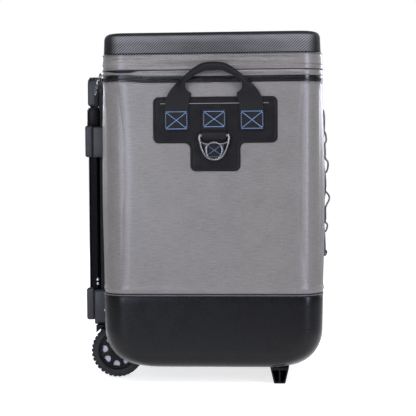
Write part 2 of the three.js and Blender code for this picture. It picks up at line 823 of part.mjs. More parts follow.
/** An upright strip of webbing on the front with a raised loop at each crossing level. */
function laceStrip() {
  const bottom = laceBottom - laceMargin;
  const top = laceTop + laceMargin;
  const levels = [bottom, ...shellLevels.filter((z) => z > bottom && z < top), top];
  const low = -laceSpread - laceStripWidth / 2;
  const high = low + laceStripWidth;
  const strip = loft(levels.map((z) => {
    const face = frontFace(z) + seatGap;
    return [
      new THREE.Vector3(face + laceStripWall, low, z),
      new THREE.Vector3(face + laceStripWall, high, z),
      new THREE.Vector3(face, high, z),
      new THREE.Vector3(face, low, z),
    ];
  }));
  const loops = [];
  for (let i = 0; i < laceLevels; i++) {
    const z = laceTop - i * lacePitch;
    const reach = laceStripWall + laceTunnel + laceStripWall;
    const half = laceStripWidth / 2;
    const outline = [
      [laceStripWall / 3, -half], [laceStripWall, -half], [reach, -half * 0.55],
      [reach, half * 0.55], [laceStripWall, half], [laceStripWall / 3, half],
    ].map(([x, y]) => new THREE.Vector2(x, y));
    const hole = [
      [laceStripWall, -half * 0.62], [laceStripWall + laceTunnel, -half * 0.4],
      [laceStripWall + laceTunnel, half * 0.4], [laceStripWall, half * 0.62],
    ].map(([x, y]) => new THREE.Vector2(x, y));
    const loop = plate(outline, laceLoopHeight, [hole]);
    loops.push(loop.translate(frontFace(z) + seatGap, -laceSpread, z));
  }
  return join(strip, ...loops);
}

/** The bungee's route: up through the loops of alternate sides, across the top and down again. */
function laceRoute() {
  const onFace = (z, height) => frontFace(z) + seatGap + cordRadius + height;
  const inLoop = laceStripWall + tunnelGap;
  const eyelet = laceLoopHeight / 2 + cordRadius;
  const leg = (start, crossing) => {
    const path = [];
    for (let i = laceLevels - 1; i >= 0; i--) {
      const z = laceTop - i * lacePitch;
      const side = (laceLevels - 1 - i) % 2 === 0 ? start : -start;
      for (const step of [-eyelet, 0, eyelet]) {
        path.push([onFace(z + step, inLoop), side * laceSpread, z + step]);
      }
      if (i > 0) {
        const middle = z + lacePitch / 2;
        const lift = crossing + (crossing > 0 ? laceSlack[i - 1] : 0);
        path.push([onFace(middle, lift), 0, middle]);
      }
    }
    return path;
  };
  const near = leg(-1, 0);
  const far = leg(1, strandPitch).reverse();
  const topZ = laceTop + laceMargin + strandPitch;
  const across = [-1, 1].map((side) => [onFace(topZ, inLoop), side * laceSpread / 2, topZ]);
  return [...near, ...across, ...far].map(([x, y, z]) => new THREE.Vector3(x, y, z));
}

const lockHeight = laceBottom - lockDrop;
const lockOut = frontFace(lockHeight) + seatGap + lockRadius;

/** The bungee: both of its ends run into the cord lock below the lowest loops. */
function bungeeCord() {
  const route = laceRoute();
  const ends = [-1, 1].map((side) => [
    new THREE.Vector3(lockOut, side * (lockLength / 2 + seatGap), lockHeight),
    new THREE.Vector3(lockOut, side * lockLength, lockHeight),
    new THREE.Vector3(lockOut, side * laceSpread * 0.8, lockHeight + cordRadius),
  ]);
  const places = [...ends[0], ...route, ...ends[1].reverse()];
  const curve = new THREE.CatmullRomCurve3(places, false, 'centripetal');
  const section = new THREE.Shape(circle(cordRadius, 6));
  return new THREE.ExtrudeGeometry(section, { steps: 104, bevelEnabled: false, extrudePath: curve });
}

/** The cord lock: a barrel across the front that clamps both ends of the bungee. */
function cordLock() {
  const edge = 1.5;
  const half = lockLength / 2;
  const profile = [
    [0, -half], [lockRadius - edge, -half], [lockRadius, edge - half],
    [lockRadius, half - edge], [lockRadius - edge, half], [0, half],
  ].map(([radius, across]) => new THREE.Vector2(radius, across));
  return new THREE.LatheGeometry(profile, 14).translate(lockOut, 0, lockHeight);
}

place('cord_lock', cordLock(), blackPlastic);
placeBothSides('lace_strip', laceStrip, webbing);
place('bungee_cord', bungeeCord(), cordBlack);

// ---------------------------------------------------------------- trolley handle

/** A ring of a tube's section about a tube centre, grown by a gap. */
function tubeRing(grow, z, side) {
  const points = roundedRing(
    tubeDepth / 2 + grow,
    tubeWidth / 2 + grow,
    Math.max(tubeCorner + grow, 0.8),
    z,
    tubeMiddle,
    2,
  );
  return points.map((p) => new THREE.Vector3(p.x, p.y + side * tubeSpread, p.z));
}

/** A tube or sleeve between two heights, from its outside in by a wall. side is -1 near, 1 far. */
function tube(outside, wall, low, high, side) {
  return loft([
    tubeRing(outside, low, side),
    tubeRing(outside, high, side),
    tubeRing(outside - wall, high, side),
    tubeRing(outside - wall, low, side),
  ], true);
}

/** A solid bar that fills a tube's outline, for cutting room for it. */
function tubeRoom(grow, low, high, side) {
  return loft([tubeRing(grow, low, side), tubeRing(grow, high, side)]);
}

const stageOneOutside = -tubeWall - slideGap;
const stageTwoOutside = stageOneOutside - tubeWall - slideGap;
const stageFoot = tubeFoot + 10; // the inner tubes end above the outer tube's foot
const outerTop = collarTop - collarWall;
const neckBottom = collarTop + seatGap;
const stageOneTop = collarTop + innerCollarHeight;
const middleTop = stageOneTop - 1; // the middle tube stops under its collar's lip
const gripBottom = collarTop + neckHeight;
const gripTop = gripBottom + gripHeight;
const socketDepth = 20;

for (const [name, side] of [['near', -1], ['far', 1]]) {
  const outerTube = tube(0, tubeWall, tubeFoot, outerTop, side);
  const collarBottom = collarTop - collarHeight;
  const collarOutside = seatGap + collarWall;
  const sleeve = tube(collarOutside, collarWall, collarBottom, collarTop, side);
  const lipWall = collarOutside - stageOneOutside - slideGap;
  const lip = tube(collarOutside, lipWall, outerTop + seatGap, collarTop, side);
  place(`outer_tube_${name}`, outerTube, tubeBlack);
  place(`outer_collar_${name}`, join(sleeve, lip), blackPlastic);
  const middleTube = tube(stageOneOutside, tubeWall, stageFoot, middleTop, side);
  place(`middle_tube_${name}`, middleTube, tubeBlack);
  const innerCollar = tube(0, -stageOneOutside - seatGap, neckBottom, stageOneTop, side);
  const innerLip = tube(0, -stageTwoOutside - slideGap, middleTop + seatGap, stageOneTop, side);
  place(`middle_collar_${name}`, join(innerCollar, innerLip), blackPlastic);
  const innerTube = tube(stageTwoOutside, tubeWall, stageFoot, gripBottom + socketDepth - seatGap, side);
  place(`inner_tube_${name}`, innerTube, tubeBlack);
}

/** The moulded grip: two legs that take the inner tubes and a hand bar between them. */
function grip() {
  const outer = tubeSpread + gripLegWidth / 2;
  const inner = tubeSpread - gripLegWidth / 2;
  const barBottom = gripTop - gripBar;
  const outline = roundedOutline([
    [-outer, gripBottom, gripFoot],
    [-inner, gripBottom, gripFoot],
    [-inner, barBottom, gripRound],
    [inner, barBottom, gripRound],
    [inner, gripBottom, gripFoot],
    [outer, gripBottom, gripFoot],
    [outer, gripTop, 2 * gripRound],
    [-outer, gripTop, 2 * gripRound],
  ]);
  const body = facingFront(plate(outline, gripDepth, [], gripBevel)).translate(tubeMiddle, 0, 0);
  const sockets = [-1, 1].map((side) => (
    tubeRoom(stageTwoOutside + seatGap, gripBottom - 1, gripBottom + socketDepth, side)
  ));
  const slotDepth = gripBar / 2;
  const slot = plate(buttonOutline(seatGap), slotDepth + 1);
  slot.translate(tubeMiddle, 0, gripTop - slotDepth / 2 + 0.5);
  return cut(body, ...sockets, slot);
}

/** The release button's outline from above, grown by a gap. */
function buttonOutline(grow) {
  const halfX = buttonWidth / 2 + grow;
  const halfY = buttonLength / 2 + grow;
  return roundedOutline([
    [-halfX, -halfY, buttonWidth / 3],
    [halfX, -halfY, buttonWidth / 3],
    [halfX, halfY, buttonWidth / 3],
    [-halfX, halfY, buttonWidth / 3],
  ], 3);
}

function releaseButton() {
  const height = gripBar / 2 - buttonTravel - 2 * seatGap + buttonProud;
  const button = plate(buttonOutline(0), height, [], 0.8);
  return button.translate(tubeMiddle, 0, gripTop + buttonProud - height / 2);
}

place('grip', grip(), blackPlastic);
place('release_button', releaseButton(), blackPlastic);

// ---------------------------------------------------------------- spine and brackets

const spineHalf = tubeSpread - tubeWidth / 2 - 4;
const spineRear = tubeFront + seatGap;
const bodyRear = -halfDepth - trimProud - seatGap; // rear parts rest on the piping round the body

/** A board across the rear, drawn in y-z, between two depths, with round edges on both faces. */
function rearBoard(half, low, high, rearX, frontX, corner, bevel) {
  const outline = roundedOutline([
    [-half, low, corner],
    [half, low, corner],
    [half, high, corner],
    [-half, high, corner],
  ]);
  const board = facingFront(plate(outline, frontX - rearX, [], bevel));
  return board.translate((rearX + frontX) / 2, 0, 0);
}

/** The moulded spine between the tubes, with pockets between its cross ribs. */
function handleSpine() {
  const board = rearBoard(spineHalf, tubeFoot, spineTop, spineRear, bodyRear, 8, 1.5);
  const floor = 3;
  const rib = 5;
  const pocketHalf = spineHalf - 2 * rib;
  const low = lowerBracketBottom + lowerBracketHeight + rib;
  const high = upperBracketBottom - rib;
  const pockets = [];
  const count = 3;
  const pitch = (high - low + rib) / count;
  for (let i = 0; i < count; i++) {
    const bottom = low + i * pitch;
    pockets.push(rearBoard(pocketHalf, bottom, bottom + pitch - rib, spineRear - 1, bodyRear - floor, 6, 0));
  }
  return cut(board, ...pockets);
}

/** The rear cap of a bracket: it clamps the tubes against the bracket's base. */
function bracketCap(bottom, height) {
  const split = bracketRear + bracketSplit;
  const cap = rearBoard(bracketSpread, bottom, bottom + height, bracketRear, split, bracketRound, 2.2);
  const rooms = [-1, 1].map((side) => tubeRoom(seatGap, bottom - 1, bottom + height + 1, side));
  return cut(cap, ...rooms);
}

/** The bracket's base: it wraps the spine and carries the tubes on the body's rear face. */
function bracketBase(bottom, height) {
  const split = bracketRear + bracketSplit + seatGap;
  const base = rearBoard(bracketSpread, bottom, bottom + height, split, bodyRear, bracketRound, 1.2);
  const rooms = [-1, 1].map((side) => tubeRoom(seatGap, bottom - 1, bottom + height + 1, side));
  const spineRoom = box(
    spineRear - seatGap,
    bodyRear + 1,
    -spineHalf - seatGap,
    spineHalf + seatGap,
    bottom - 1,
    bottom + height + 1,
  );
  return cut(base, ...rooms, spineRoom);
}

const baseStep = 2.5; // between the ends of a base and those of its cap
const upperBase = [upperBracketBottom + baseStep, upperBracketHeight - 2 * baseStep];
const lowerBase = [lowerBracketBottom - baseStep, lowerBracketHeight];
place('handle_spine', handleSpine(), blackPlastic);
place('upper_bracket_cap', bracketCap(upperBracketBottom, upperBracketHeight), blackPlastic);
place('upper_bracket_base', bracketBase(...upperBase), blackPlastic);
place('lower_bracket_cap', bracketCap(lowerBracketBottom, lowerBracketHeight), blackPlastic);
place('lower_bracket_base', bracketBase(...lowerBase), blackPlastic);

// ---------------------------------------------------------------- undercarriage

const axleHeight = wheelRadius;
const hubBore = axleRadius + pinGap;
const rimWall = 3;
const wheelSegments = 26;
const shoulderDrop = 4; // the carcass rounds over its shoulders this much

/** Turns a lathe profile, drawn as [radius, across], into a wheel piece about the axle. */
function wheelPiece(profile) {
  const points = profile.map(([radius, across]) => new THREE.Vector2(radius, across));
  points.push(points[0].clone());
  return new THREE.LatheGeometry(points, wheelSegments);
}

/** The tyre: a round carcass with two staggered rows of blocks that wrap over its shoulders. */
function tyre() {
  const half = wheelWidth / 2;
  const tread = wheelRadius - lugHeight;
  const bead = hubRadius + seatGap;
  const sidewall = 1.5; // the lugs stand this much out from the sidewalls
  const carcass = wheelPiece([
    [bead, -hubWidth / 2],
    [tread - shoulderDrop, sidewall - half],
    [tread, sidewall + shoulderDrop - half],
    [tread, half - sidewall - shoulderDrop],
    [tread - shoulderDrop, half - sidewall],
    [bead, hubWidth / 2],
  ]);
  const pitch = 2 * Math.PI / lugCount;
  const lugLength = pitch * wheelRadius * 0.56;
  const crest = Math.sqrt(wheelRadius ** 2 - (lugLength / 2) ** 2);
  const root = 2; // the lugs reach this far into the carcass
  const lugs = [];
  for (const row of [-1, 1]) {
    for (let i = 0; i < lugCount; i++) {
      // across the tread and out from the axle: a block with a sloping shoulder
      const outline = [
        [1, tread - root],
        [half - 2 * root, tread - root],
        [half, tread - shoulderDrop],
        [half - shoulderDrop, crest],
        [1, crest],
      ].map(([across, out]) => new THREE.Vector2(across, out));
      const block = plate(outline, lugLength);
      // the outline's x runs along the axle (y) and its y runs out from it (z)
      block.rotateX(Math.PI / 2).rotateZ(Math.PI / 2);
      if (row < 0) block.rotateZ(Math.PI);
      block.rotateY(i * pitch + (row > 0 ? pitch / 2 : 0));
      lugs.push(block);
    }
  }
  return join(carcass, ...lugs);
}

/** The wheel's moulded core: a rim that carries the tyre, a web and a hub bored for the axle. */
function wheelCore() {
  const half = hubWidth / 2;
  const dish = discThickness + seatGap;
  return wheelPiece([
    [hubBore, -half],
    [hubRadius, -half],
    [hubRadius, half],
    [hubRadius - rimWall + seatGap, half],
    [hubRadius - rimWall + seatGap, half - dish],
    [axleCapRadius + 3, half - dish],
    [hubBore, half - dish],
  ]);
}

/** The black cover on the wheel's outer face, with its ring of D-shaped windows. */
function wheelCover() {
  const windows = [];
  const shoulder = windowOuter - 6;
  for (let i = 0; i < hubWindows; i++) {
    const angle = i / hubWindows * 2 * Math.PI;
    const window = roundedOutline([
      [-windowHalf, windowOuter, 1.6],
      [1 - windowHalf, shoulder],
      [0, windowInner, 4],
      [windowHalf - 1, shoulder],
      [windowHalf, windowOuter, 1.6],
    ], 2);
    windows.push(window.map((p) => p.rotateAround(new THREE.Vector2(), angle)));
  }
  windows.push(circle(hubBore, 12));
  return facingSide(plate(circle(hubRadius - rimWall, wheelSegments), discThickness, windows));
}

/** The domed cap that keeps the wheel on its axle. */
function axleCap() {
  return new THREE.LatheGeometry([
    [0, 0], [axleCapRadius, 0], [axleCapRadius, 1], [axleCapRadius - 2, 3], [0, 4],
  ].map(([radius, along]) => new THREE.Vector2(radius, along)), 16);
}

const coverOutside = hubWidth / 2; // from the wheel's middle plane
const capSeat = wheelMiddle + coverOutside + pinGap;

for (const [name, side] of [['near', -1], ['far', 1]]) {
  const outward = side < 0 ? Math.PI : 0;
  const pieces = [
    [`tyre_${name}`, tyre(), tyreRubber, 0],
    [`wheel_core_${name}`, wheelCore(), discGrey, 0],
    [`wheel_cover_${name}`, wheelCover(), blackPlastic, coverOutside - discThickness / 2],
  ];
  for (const [title, geometry, material, across] of pieces) {
    geometry.translate(0, across, 0).rotateX(outward);
    place(title, geometry, material).position.set(-wheelSetback, side * wheelMiddle, axleHeight);
  }
  const cap = axleCap().rotateX(outward);
  place(`axle_cap_${name}`, cap, blackPlastic).position.set(-wheelSetback, side * capSeat, axleHeight);
}

function axle() {
  const reach = capSeat - seatGap;
  return barAlongY(axleRadius, -wheelSetback, axleHeight, -reach, reach, 24);
}

/** The moulded carriage under the rear edge: it holds the axle and shields the wheels. */
function wheelCarriage() {
  const half = bossHalf - seatGap;
  const wrap = (inset) => {
    const centreX = -halfDepth + baseDraft + baseHeel;
    const centreZ = baseBottom + baseHeel;
    const points = [];
    for (let i = 0; i <= 8; i++) {
      const angle = Math.PI + i / 8 * Math.PI / 2;
      const radius = baseHeel + inset;
      points.push(new THREE.Vector2(centreX + radius * Math.cos(angle), centreZ + radius * Math.sin(angle)));
    }
    points.push(new THREE.Vector2(-carriageReach, centreZ - baseHeel - inset));
    return points;
  };
  const clear = seatGap + baseDraft;
  const skin = [...wrap(clear + carriageWall), ...wrap(clear).reverse()];
  const plateBody = facingSide(plate(skin, 2 * half));
  const boss = wellBar(bossRadius, -half, half);
  const guardReach = wheelMiddle + wellHalf - seatGap;
  const guardTop = lowerBracketBottom - baseStep - seatGap;
  const guardBottom = guardTop - guardHeight;
  const guard = box(-halfDepth - guardDepth, bodyRear, -guardReach, guardReach, guardBottom, guardTop);
  const wheelRoom = [-1, 1].map((side) => wellBar(
    wheelRadius + wheelGap / 2,
    side * wheelMiddle - wellHalf - seatGap,
    side * wheelMiddle + wellHalf + seatGap,
  ));
  const bore = barAlongY(axleRadius + seatGap / 3, -wheelSetback, axleHeight, -half - 1, half + 1, 24);
  return cut(join(plateBody, boss, guard), ...wheelRoom, bore);
}

/** The bar the cooler stands on in front: a tapered channel with a middle rib, open at its ends. */
function standBar() {
  const top = baseBottom - seatGap;
  const halfTop = footTopWidth / 2;
  const halfBottom = footBottomWidth / 2;
  const outline = roundedOutline([
    [-halfTop, top], [-halfBottom, 0, 1.5], [halfBottom, 0, 1.5], [halfTop, top],
  ], 2);
  const slope = (halfTop - halfBottom) / top;
  const rib = footWall / 2;
  const cell = (side) => {
    const low = footWall;
    const high = top - 2 * footWall;
    const wall = (z) => halfBottom + slope * z - footWall;
    return [[rib, low], [wall(low), low], [wall(high), high], [rib, high]]
      .map(([x, z]) => new THREE.Vector2(side * x, z));
  };
  const bar = facingSide(plate(outline, 2 * footSpread));
  const cells = [-1, 1].map((side) => facingSide(plate(cell(side), 2 * footSpread + 2)));
  return cut(bar, ...cells).translate(footSetting, 0, 0);
}

place('axle', axle(), steel);
place('wheel_carriage', wheelCarriage(), blackPlastic);
place('stand_bar', standBar(), blackPlastic);

// ---------------------------------------------------------------- zip slider

const cornerX = -halfDepth + bodyCorner;
const cornerY = -halfWidth + bodyCorner;
const sliderBack = bodyCorner + zipProud + seatGap; // from the corner's centre to its back
const sliderLength = 17;
const sliderWidth = 8.5;
const sliderThickness = 2.6;
const sliderEye = 2.2; // radius of its hole
const sliderEyeWall = 1.3;
const pullCord = 1.5;
const pullDrop = 17; // cord between the slider's eye and the tab
const pullTabLength = 27;
const pullTabWidth = 8;
const pullTabThickness = 4.5;
const sliderTurn = THREE.MathUtils.degToRad(8); // how far round the corner the closed slider sits

/** Puts a piece drawn behind the corner (out along -x) at the slider's place on the corner. */
function onCorner(geometry) {
  return geometry.rotateZ(sliderTurn).translate(cornerX, cornerY, zipLine);
}

/** The slider: a plate that wraps the teeth, tapered to its nose, with an eye for the pull. */
function zipSlider() {
  const half = sliderLength / 2;
  const nose = sliderWidth * 0.3;
  const wide = sliderWidth / 2;
  const outline = roundedOutline([
    [-half, -nose, 1.5], [half, -wide, 2], [half, wide, 2], [-half, nose, 1.5],
  ], 3);
  const body = facingFront(plate(outline, sliderThickness, [], 0.6));
  body.translate(-sliderBack - sliderThickness / 2, 0, 0);
  const eyeOuter = sliderEye + sliderEyeWall;
  const eyeOutline = roundedOutline([
    [-eyeOuter, -sliderThickness / 2], [-eyeOuter, 2 * eyeOuter, eyeOuter * 0.9],
    [eyeOuter, 2 * eyeOuter, eyeOuter * 0.9], [eyeOuter, -sliderThickness / 2],
  ], 3);
  const eye = plate(eyeOutline, 2.4, [circle(sliderEye, 12, 0, eyeOuter)]);
  // the eye stands out from the plate, with its hole running along y
  eye.rotateZ(Math.PI / 2).rotateX(Math.PI / 2);
  eye.translate(-sliderBack - sliderThickness, 0, 0);
  return onCorner(join(body, eye));
}

/** The pull: a loop of cord through the slider's eye that ends in a moulded tab. */
function zipPull() {
  const eyeOut = -sliderBack - sliderThickness - sliderEye - sliderEyeWall;
  const hang = pullCord + 1.6; // half way between the strands on both sides of the eye
  const curve = new THREE.CatmullRomCurve3([
    [0.6, -pullDrop - 3], [1, -pullDrop * 0.6], [1, -pullCord * 1.4], [0, 0],
    [-1, -pullCord * 1.4], [-1, -pullDrop * 0.6], [-0.6, -pullDrop - 3],
  ].map(([across, up]) => new THREE.Vector3(eyeOut, across * hang, up)));
  const section = new THREE.Shape(circle(pullCord, 6));
  const cord = new THREE.ExtrudeGeometry(section, { steps: 12, bevelEnabled: false, extrudePath: curve });
  const half = pullTabWidth / 2;
  const outline = roundedOutline([
    [-half, -pullDrop, 2], [half, -pullDrop, 2],
    [half * 0.8, -pullDrop - pullTabLength, 2.5], [-half * 0.8, -pullDrop - pullTabLength, 2.5],
  ], 3);
  const tab = facingFront(plate(outline, pullTabThickness, [], 1)).translate(eyeOut, 0, 0);
  return onCorner(join(cord, tab));
}

place('zip_slider', zipSlider(), zipBlack);
place('zip_pull', zipPull(), cordBlack);

export default cooler;
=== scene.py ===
"""Looks for the wheeled soft cooler: cloth, webbing, moulded and metal pieces built round its CAD frame.

Lengths in the making functions are millimetres. +X is the laced front, -Y the near side.
"""
import math

import bmesh
import bpy
from mathutils import Matrix, Quaternion, Vector, noise
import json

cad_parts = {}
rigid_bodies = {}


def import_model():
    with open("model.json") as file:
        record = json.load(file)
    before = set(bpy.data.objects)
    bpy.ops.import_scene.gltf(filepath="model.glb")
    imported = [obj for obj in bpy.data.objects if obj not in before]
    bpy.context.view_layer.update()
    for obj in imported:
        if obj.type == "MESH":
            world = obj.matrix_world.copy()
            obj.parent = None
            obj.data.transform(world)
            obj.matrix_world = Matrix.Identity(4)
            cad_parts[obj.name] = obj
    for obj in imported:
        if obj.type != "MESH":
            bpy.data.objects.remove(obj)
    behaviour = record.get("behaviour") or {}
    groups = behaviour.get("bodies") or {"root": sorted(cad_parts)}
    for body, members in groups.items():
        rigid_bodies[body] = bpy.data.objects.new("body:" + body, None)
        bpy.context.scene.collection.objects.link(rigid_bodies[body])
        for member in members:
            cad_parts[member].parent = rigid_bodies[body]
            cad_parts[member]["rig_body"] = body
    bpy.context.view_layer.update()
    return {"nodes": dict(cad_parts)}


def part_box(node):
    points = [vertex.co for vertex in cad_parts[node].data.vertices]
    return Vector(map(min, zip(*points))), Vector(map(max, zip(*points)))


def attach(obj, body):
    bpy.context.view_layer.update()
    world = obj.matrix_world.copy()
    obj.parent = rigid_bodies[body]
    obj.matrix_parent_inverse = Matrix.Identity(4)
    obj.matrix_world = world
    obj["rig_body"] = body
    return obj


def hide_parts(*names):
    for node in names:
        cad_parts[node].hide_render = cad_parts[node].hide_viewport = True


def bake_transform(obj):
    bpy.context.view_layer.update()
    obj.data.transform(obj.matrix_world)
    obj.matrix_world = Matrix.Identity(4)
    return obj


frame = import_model()
nodes = frame["nodes"]
MM = 0.001
SIDES = ((-1, "near"), (1, "far"))
X, Y, Z = Vector((1, 0, 0)), Vector((0, 1, 0)), Vector((0, 0, 1))


def corners(node):
    """A node's lowest and highest corner in millimetres."""
    low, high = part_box(node)
    return low / MM, high / MM


def middle_of(node):
    low, high = corners(node)
    return (low + high) / 2


# ---------- the body's own measures

tub_low, tub_high = corners("base_tub")
shell_low, shell_high = corners("outer_shell")
MIDDLE = (tub_low.x + tub_high.x) / 2
HALF_DEPTH = (tub_high.x - tub_low.x) / 2
HALF_WIDTH = tub_high.y
CORNER = 40
REAR_FACE = MIDDLE - HALF_DEPTH
BASE_FOOT, BASE_TOP = tub_low.z, tub_high.z
SHELL_LOW, SHELL_HIGH = shell_low.z, shell_high.z
FRONT_SWELL = shell_high.x - tub_high.x
REAR_SWELL = 4.0
CORNER_SLACK = 17.0  # the cloth's corners are this much rounder half way up than at the seams
CORNER_DRAW = 2.8  # the zip is drawn up this far at the rear corners
END_ROLL, SIDE_ROLL = 61, 26  # radii of the base's lower edge
WELL, AXLE_WELL = (49.5, 24), (10.3, 90)  # radius and half width of the hollows in the base
# each kind of stitch: pitch, length and radius of its thread
PLAIN_STITCH, BAR_STITCH = (3.4, 2.6, 0.42), (3.0, 2.4, 0.52)
SIDE_STITCH, FAINT_STITCH = (3.4, 2.0, 0.46), (3.0, 2.2, 0.36)
ZIP_LINE = (corners("zip_tape_body")[1].z + corners("zip_tape_lid")[0].z) / 2
RIM = ZIP_LINE - SHELL_HIGH
BAND_LOW, BAND_HIGH = (corner.z for corner in corners("lid_band"))
LID_HEM = BAND_LOW + 9
BAND_FOOT = LID_HEM + 1.7
CAP_LOW, CAP_HIGH = (corner.z for corner in corners("lid_cap"))
HINGE_HALF = corners("hinge_panel")[1].y
GAPE_AT = MIDDLE - 142  # where the lid's cloth gapes at the rear corners of both sides
PATCH_FACE = -corners("strap_patch_near")[0].y
patch_low, patch_high = corners("strap_patch_near")
ARM_FOOT = patch_high.z - 74
TAB_HALF = 40.1
RING_BAR = 2.1
STRAP_MIDDLE = middle_of("ring_near").x
STRAP_FOOT = corners("strap_end_rear_near")[1].z
STRAP_OUT = -corners("strap_end_rear_near")[0].y - 1.4
RING_TOP = corners("ring_near")[1].z - RING_BAR
LACE_SIDE = middle_of("lace_strip_far").y
LOOP_LEVELS = [SHELL_HIGH - 57 - 53.6 * k for k in range(5)]
SLACK = [0.4, 2.8, 5.1, 1.6]  # how far each crossing of the bungee's upper run hangs out
CORD_REST = 1.9  # the bungee's centre from the cloth where it passes under a loop
LOCK = middle_of("cord_lock")


# ---------- material helpers

def linear(colour):
    """An sRGB hex colour as linear red, green, blue and alpha."""
    shares = [int(colour[i : i + 2], 16) / 255 for i in (1, 3, 5)]
    return tuple(s / 12.92 if s <= 0.04045 else ((s + 0.055) / 1.055) ** 2.4 for s in shares) + (1.0,)


def add(tree, kind, settings=None, inputs=None):
    """Adds a node with its settings, and with constants or other nodes' outputs on its inputs."""
    node = tree.nodes.new("ShaderNode" + kind)
    for key, value in (settings or {}).items():
        setattr(node, key, value)
    for key, value in (inputs or {}).items():
        value = getattr(value, "socket", value)
        if isinstance(value, bpy.types.NodeSocket):
            tree.links.new(value, node.inputs[key])
        else:
            node.inputs[key].default_value = value
    return node


class Output:
    """A node's output; what is reckoned from it becomes more nodes in the same tree."""

    def __init__(self, socket):
        self.socket = socket

    def node(self, kind, settings, inputs, output=0):
        return Output(add(self.socket.id_data, kind, settings, inputs).outputs[output])

    def reckon(self, operation, *others):
        return self.node("Math", {"operation": operation}, dict(enumerate((self, *others))))

    def __add__(self, other):
        return self.reckon("ADD", other)

    def __sub__(self, other):
        return self.reckon("SUBTRACT", other)

    def __mul__(self, other):
        return self.reckon("MULTIPLY", other)

    def __abs__(self):
        return self.reckon("ABSOLUTE")

    def larger(self, other):
        return self.reckon("MAXIMUM", other)

    def spread(self, low, high, to_low=0.0, to_high=1.0):
        """Stretches the value's range and clamps it."""
        return self.node("MapRange", None, {0: self, 1: low, 2: high, 3: to_low, 4: to_high})

    def mix(self, first, second):
        """A colour between two hex colours or colour outputs, with this share of the second."""
        first, second = (linear(c) if isinstance(c, str) else c for c in (first, second))
        return self.node("Mix", {"data_type": "RGBA"}, {0: self, 6: first, 7: second}, 2)

    def parts(self):
        """The x, y and z of coordinates."""
        return [Output(part) for part in add(self.socket.id_data, "SeparateXYZ", None, {0: self}).outputs]

    def mottle(self, size, detail=3, roughness=0.5):
        """Soft noise on coordinates, whose blotches are about size millimetres across."""
        return self.node("TexNoise", None, {
            "Vector": self, "Scale": 1 / size, "Detail": detail, "Roughness": roughness,
        }, "Fac")

    def wave(self, pitch, direction="X", distortion=0.0):
        """Straight ridges on coordinates, a pitch apart, from 0 to 1."""
        return self.node("TexWave", {"bands_direction": direction}, {
            "Vector": self, "Scale": math.pi / 10 / pitch, "Distortion": distortion, "Detail Scale": 1.0,
        }, "Fac")


def read(tree, kind, output):
    return Output(add(tree, kind).outputs[output])


class Look:
    """A new material with its Principled shader; constants go straight on the shader's sockets."""

    def __init__(self, name, **constants):
        self.material = bpy.data.materials.new(name)
        self.material.use_nodes = True
        self.tree = self.material.node_tree
        self.shader = self.tree.nodes["Principled BSDF"]
        for key, value in constants.items():
            self.shader.inputs[key.replace("_", " ")].default_value = value

    def place(self, stretch=(1, 1, 1), turn=0, source="Object", unit=1 / MM):
        """The piece's own coordinates in millimetres, stretched and turned by degrees about z."""
        start = read(self.tree, "TexCoord", source)
        scale = tuple(unit * s for s in stretch)
        return start.node("Mapping", None, {"Vector": start, "Scale": scale, "Rotation": (0, 0, math.radians(turn))})

    def cloth(self, stretch=(1, 1, 1), turn=0):
        """The place on the cloth: the UV maps are in millimetres."""
        return self.place(stretch, turn, "UV", 1)

    def surface(self, colour, rough, height, depth):
        """Joins the colour, the roughness and a bump of a depth in millimetres from a 0 to 1 height."""
        bump = height.node("Bump", None, {"Height": height, "Distance": depth * MM, "Strength": 1.0})
        for output, name in ((colour, "Base Color"), (rough, "Roughness"), (bump, "Normal")):
            self.tree.links.new(output.socket, self.shader.inputs[name])
        return self.material


# ---------- finishes

def coated_oxford(name, pale, deep, rough_low, rough_high, crease_shaded=False):
    """Polyurethane-coated nylon oxford: a plain weave of slubby heathered yarn under a satin film.

    Drawn tight along the lid the cloth has long creases round it, and painted shade is laid in their folds.
    """
    look = Look(name, Specular_IOR_Level=0.5, Sheen_Weight=0.12, Sheen_Roughness=0.5)
    # 0.9 mm yarn, drawn coarser than the real 0.45 mm so that it shows
    weave = look.cloth().wave(0.9) * look.cloth().wave(0.9, "Y")
    grain = look.place().mottle(1.5, 2)
    dye = look.place().mottle(38, 4, 0.55).spread(0.35, 0.65)
    slubs = look.cloth((0.06, 1, 1)).mottle(1.1, 3, 0.7).spread(0.3, 0.7)
    yarn = (dye * 0.2 + slubs * 0.8).mix(pale, deep)
    colour = yarn.node("Mix", {"data_type": "RGBA", "blend_type": "MULTIPLY"}, {
        0: 1.0, 6: yarn, 7: weave.mix("#d9d9dc", "#ffffff"),
    }, 2)
    if crease_shaded:
        # painted shade for the creases' folds: darker where this mottle is low
        flat = look.cloth((0.03, 1, 1)).mottle(4.4, 3, 0.6).spread(0.36, 0.6, 0.5, 1)
        colour = flat.mix("#3a3937", colour)
    return look.surface(colour, grain.spread(0, 1, rough_low, rough_high), weave + grain * 0.6, 0.022)


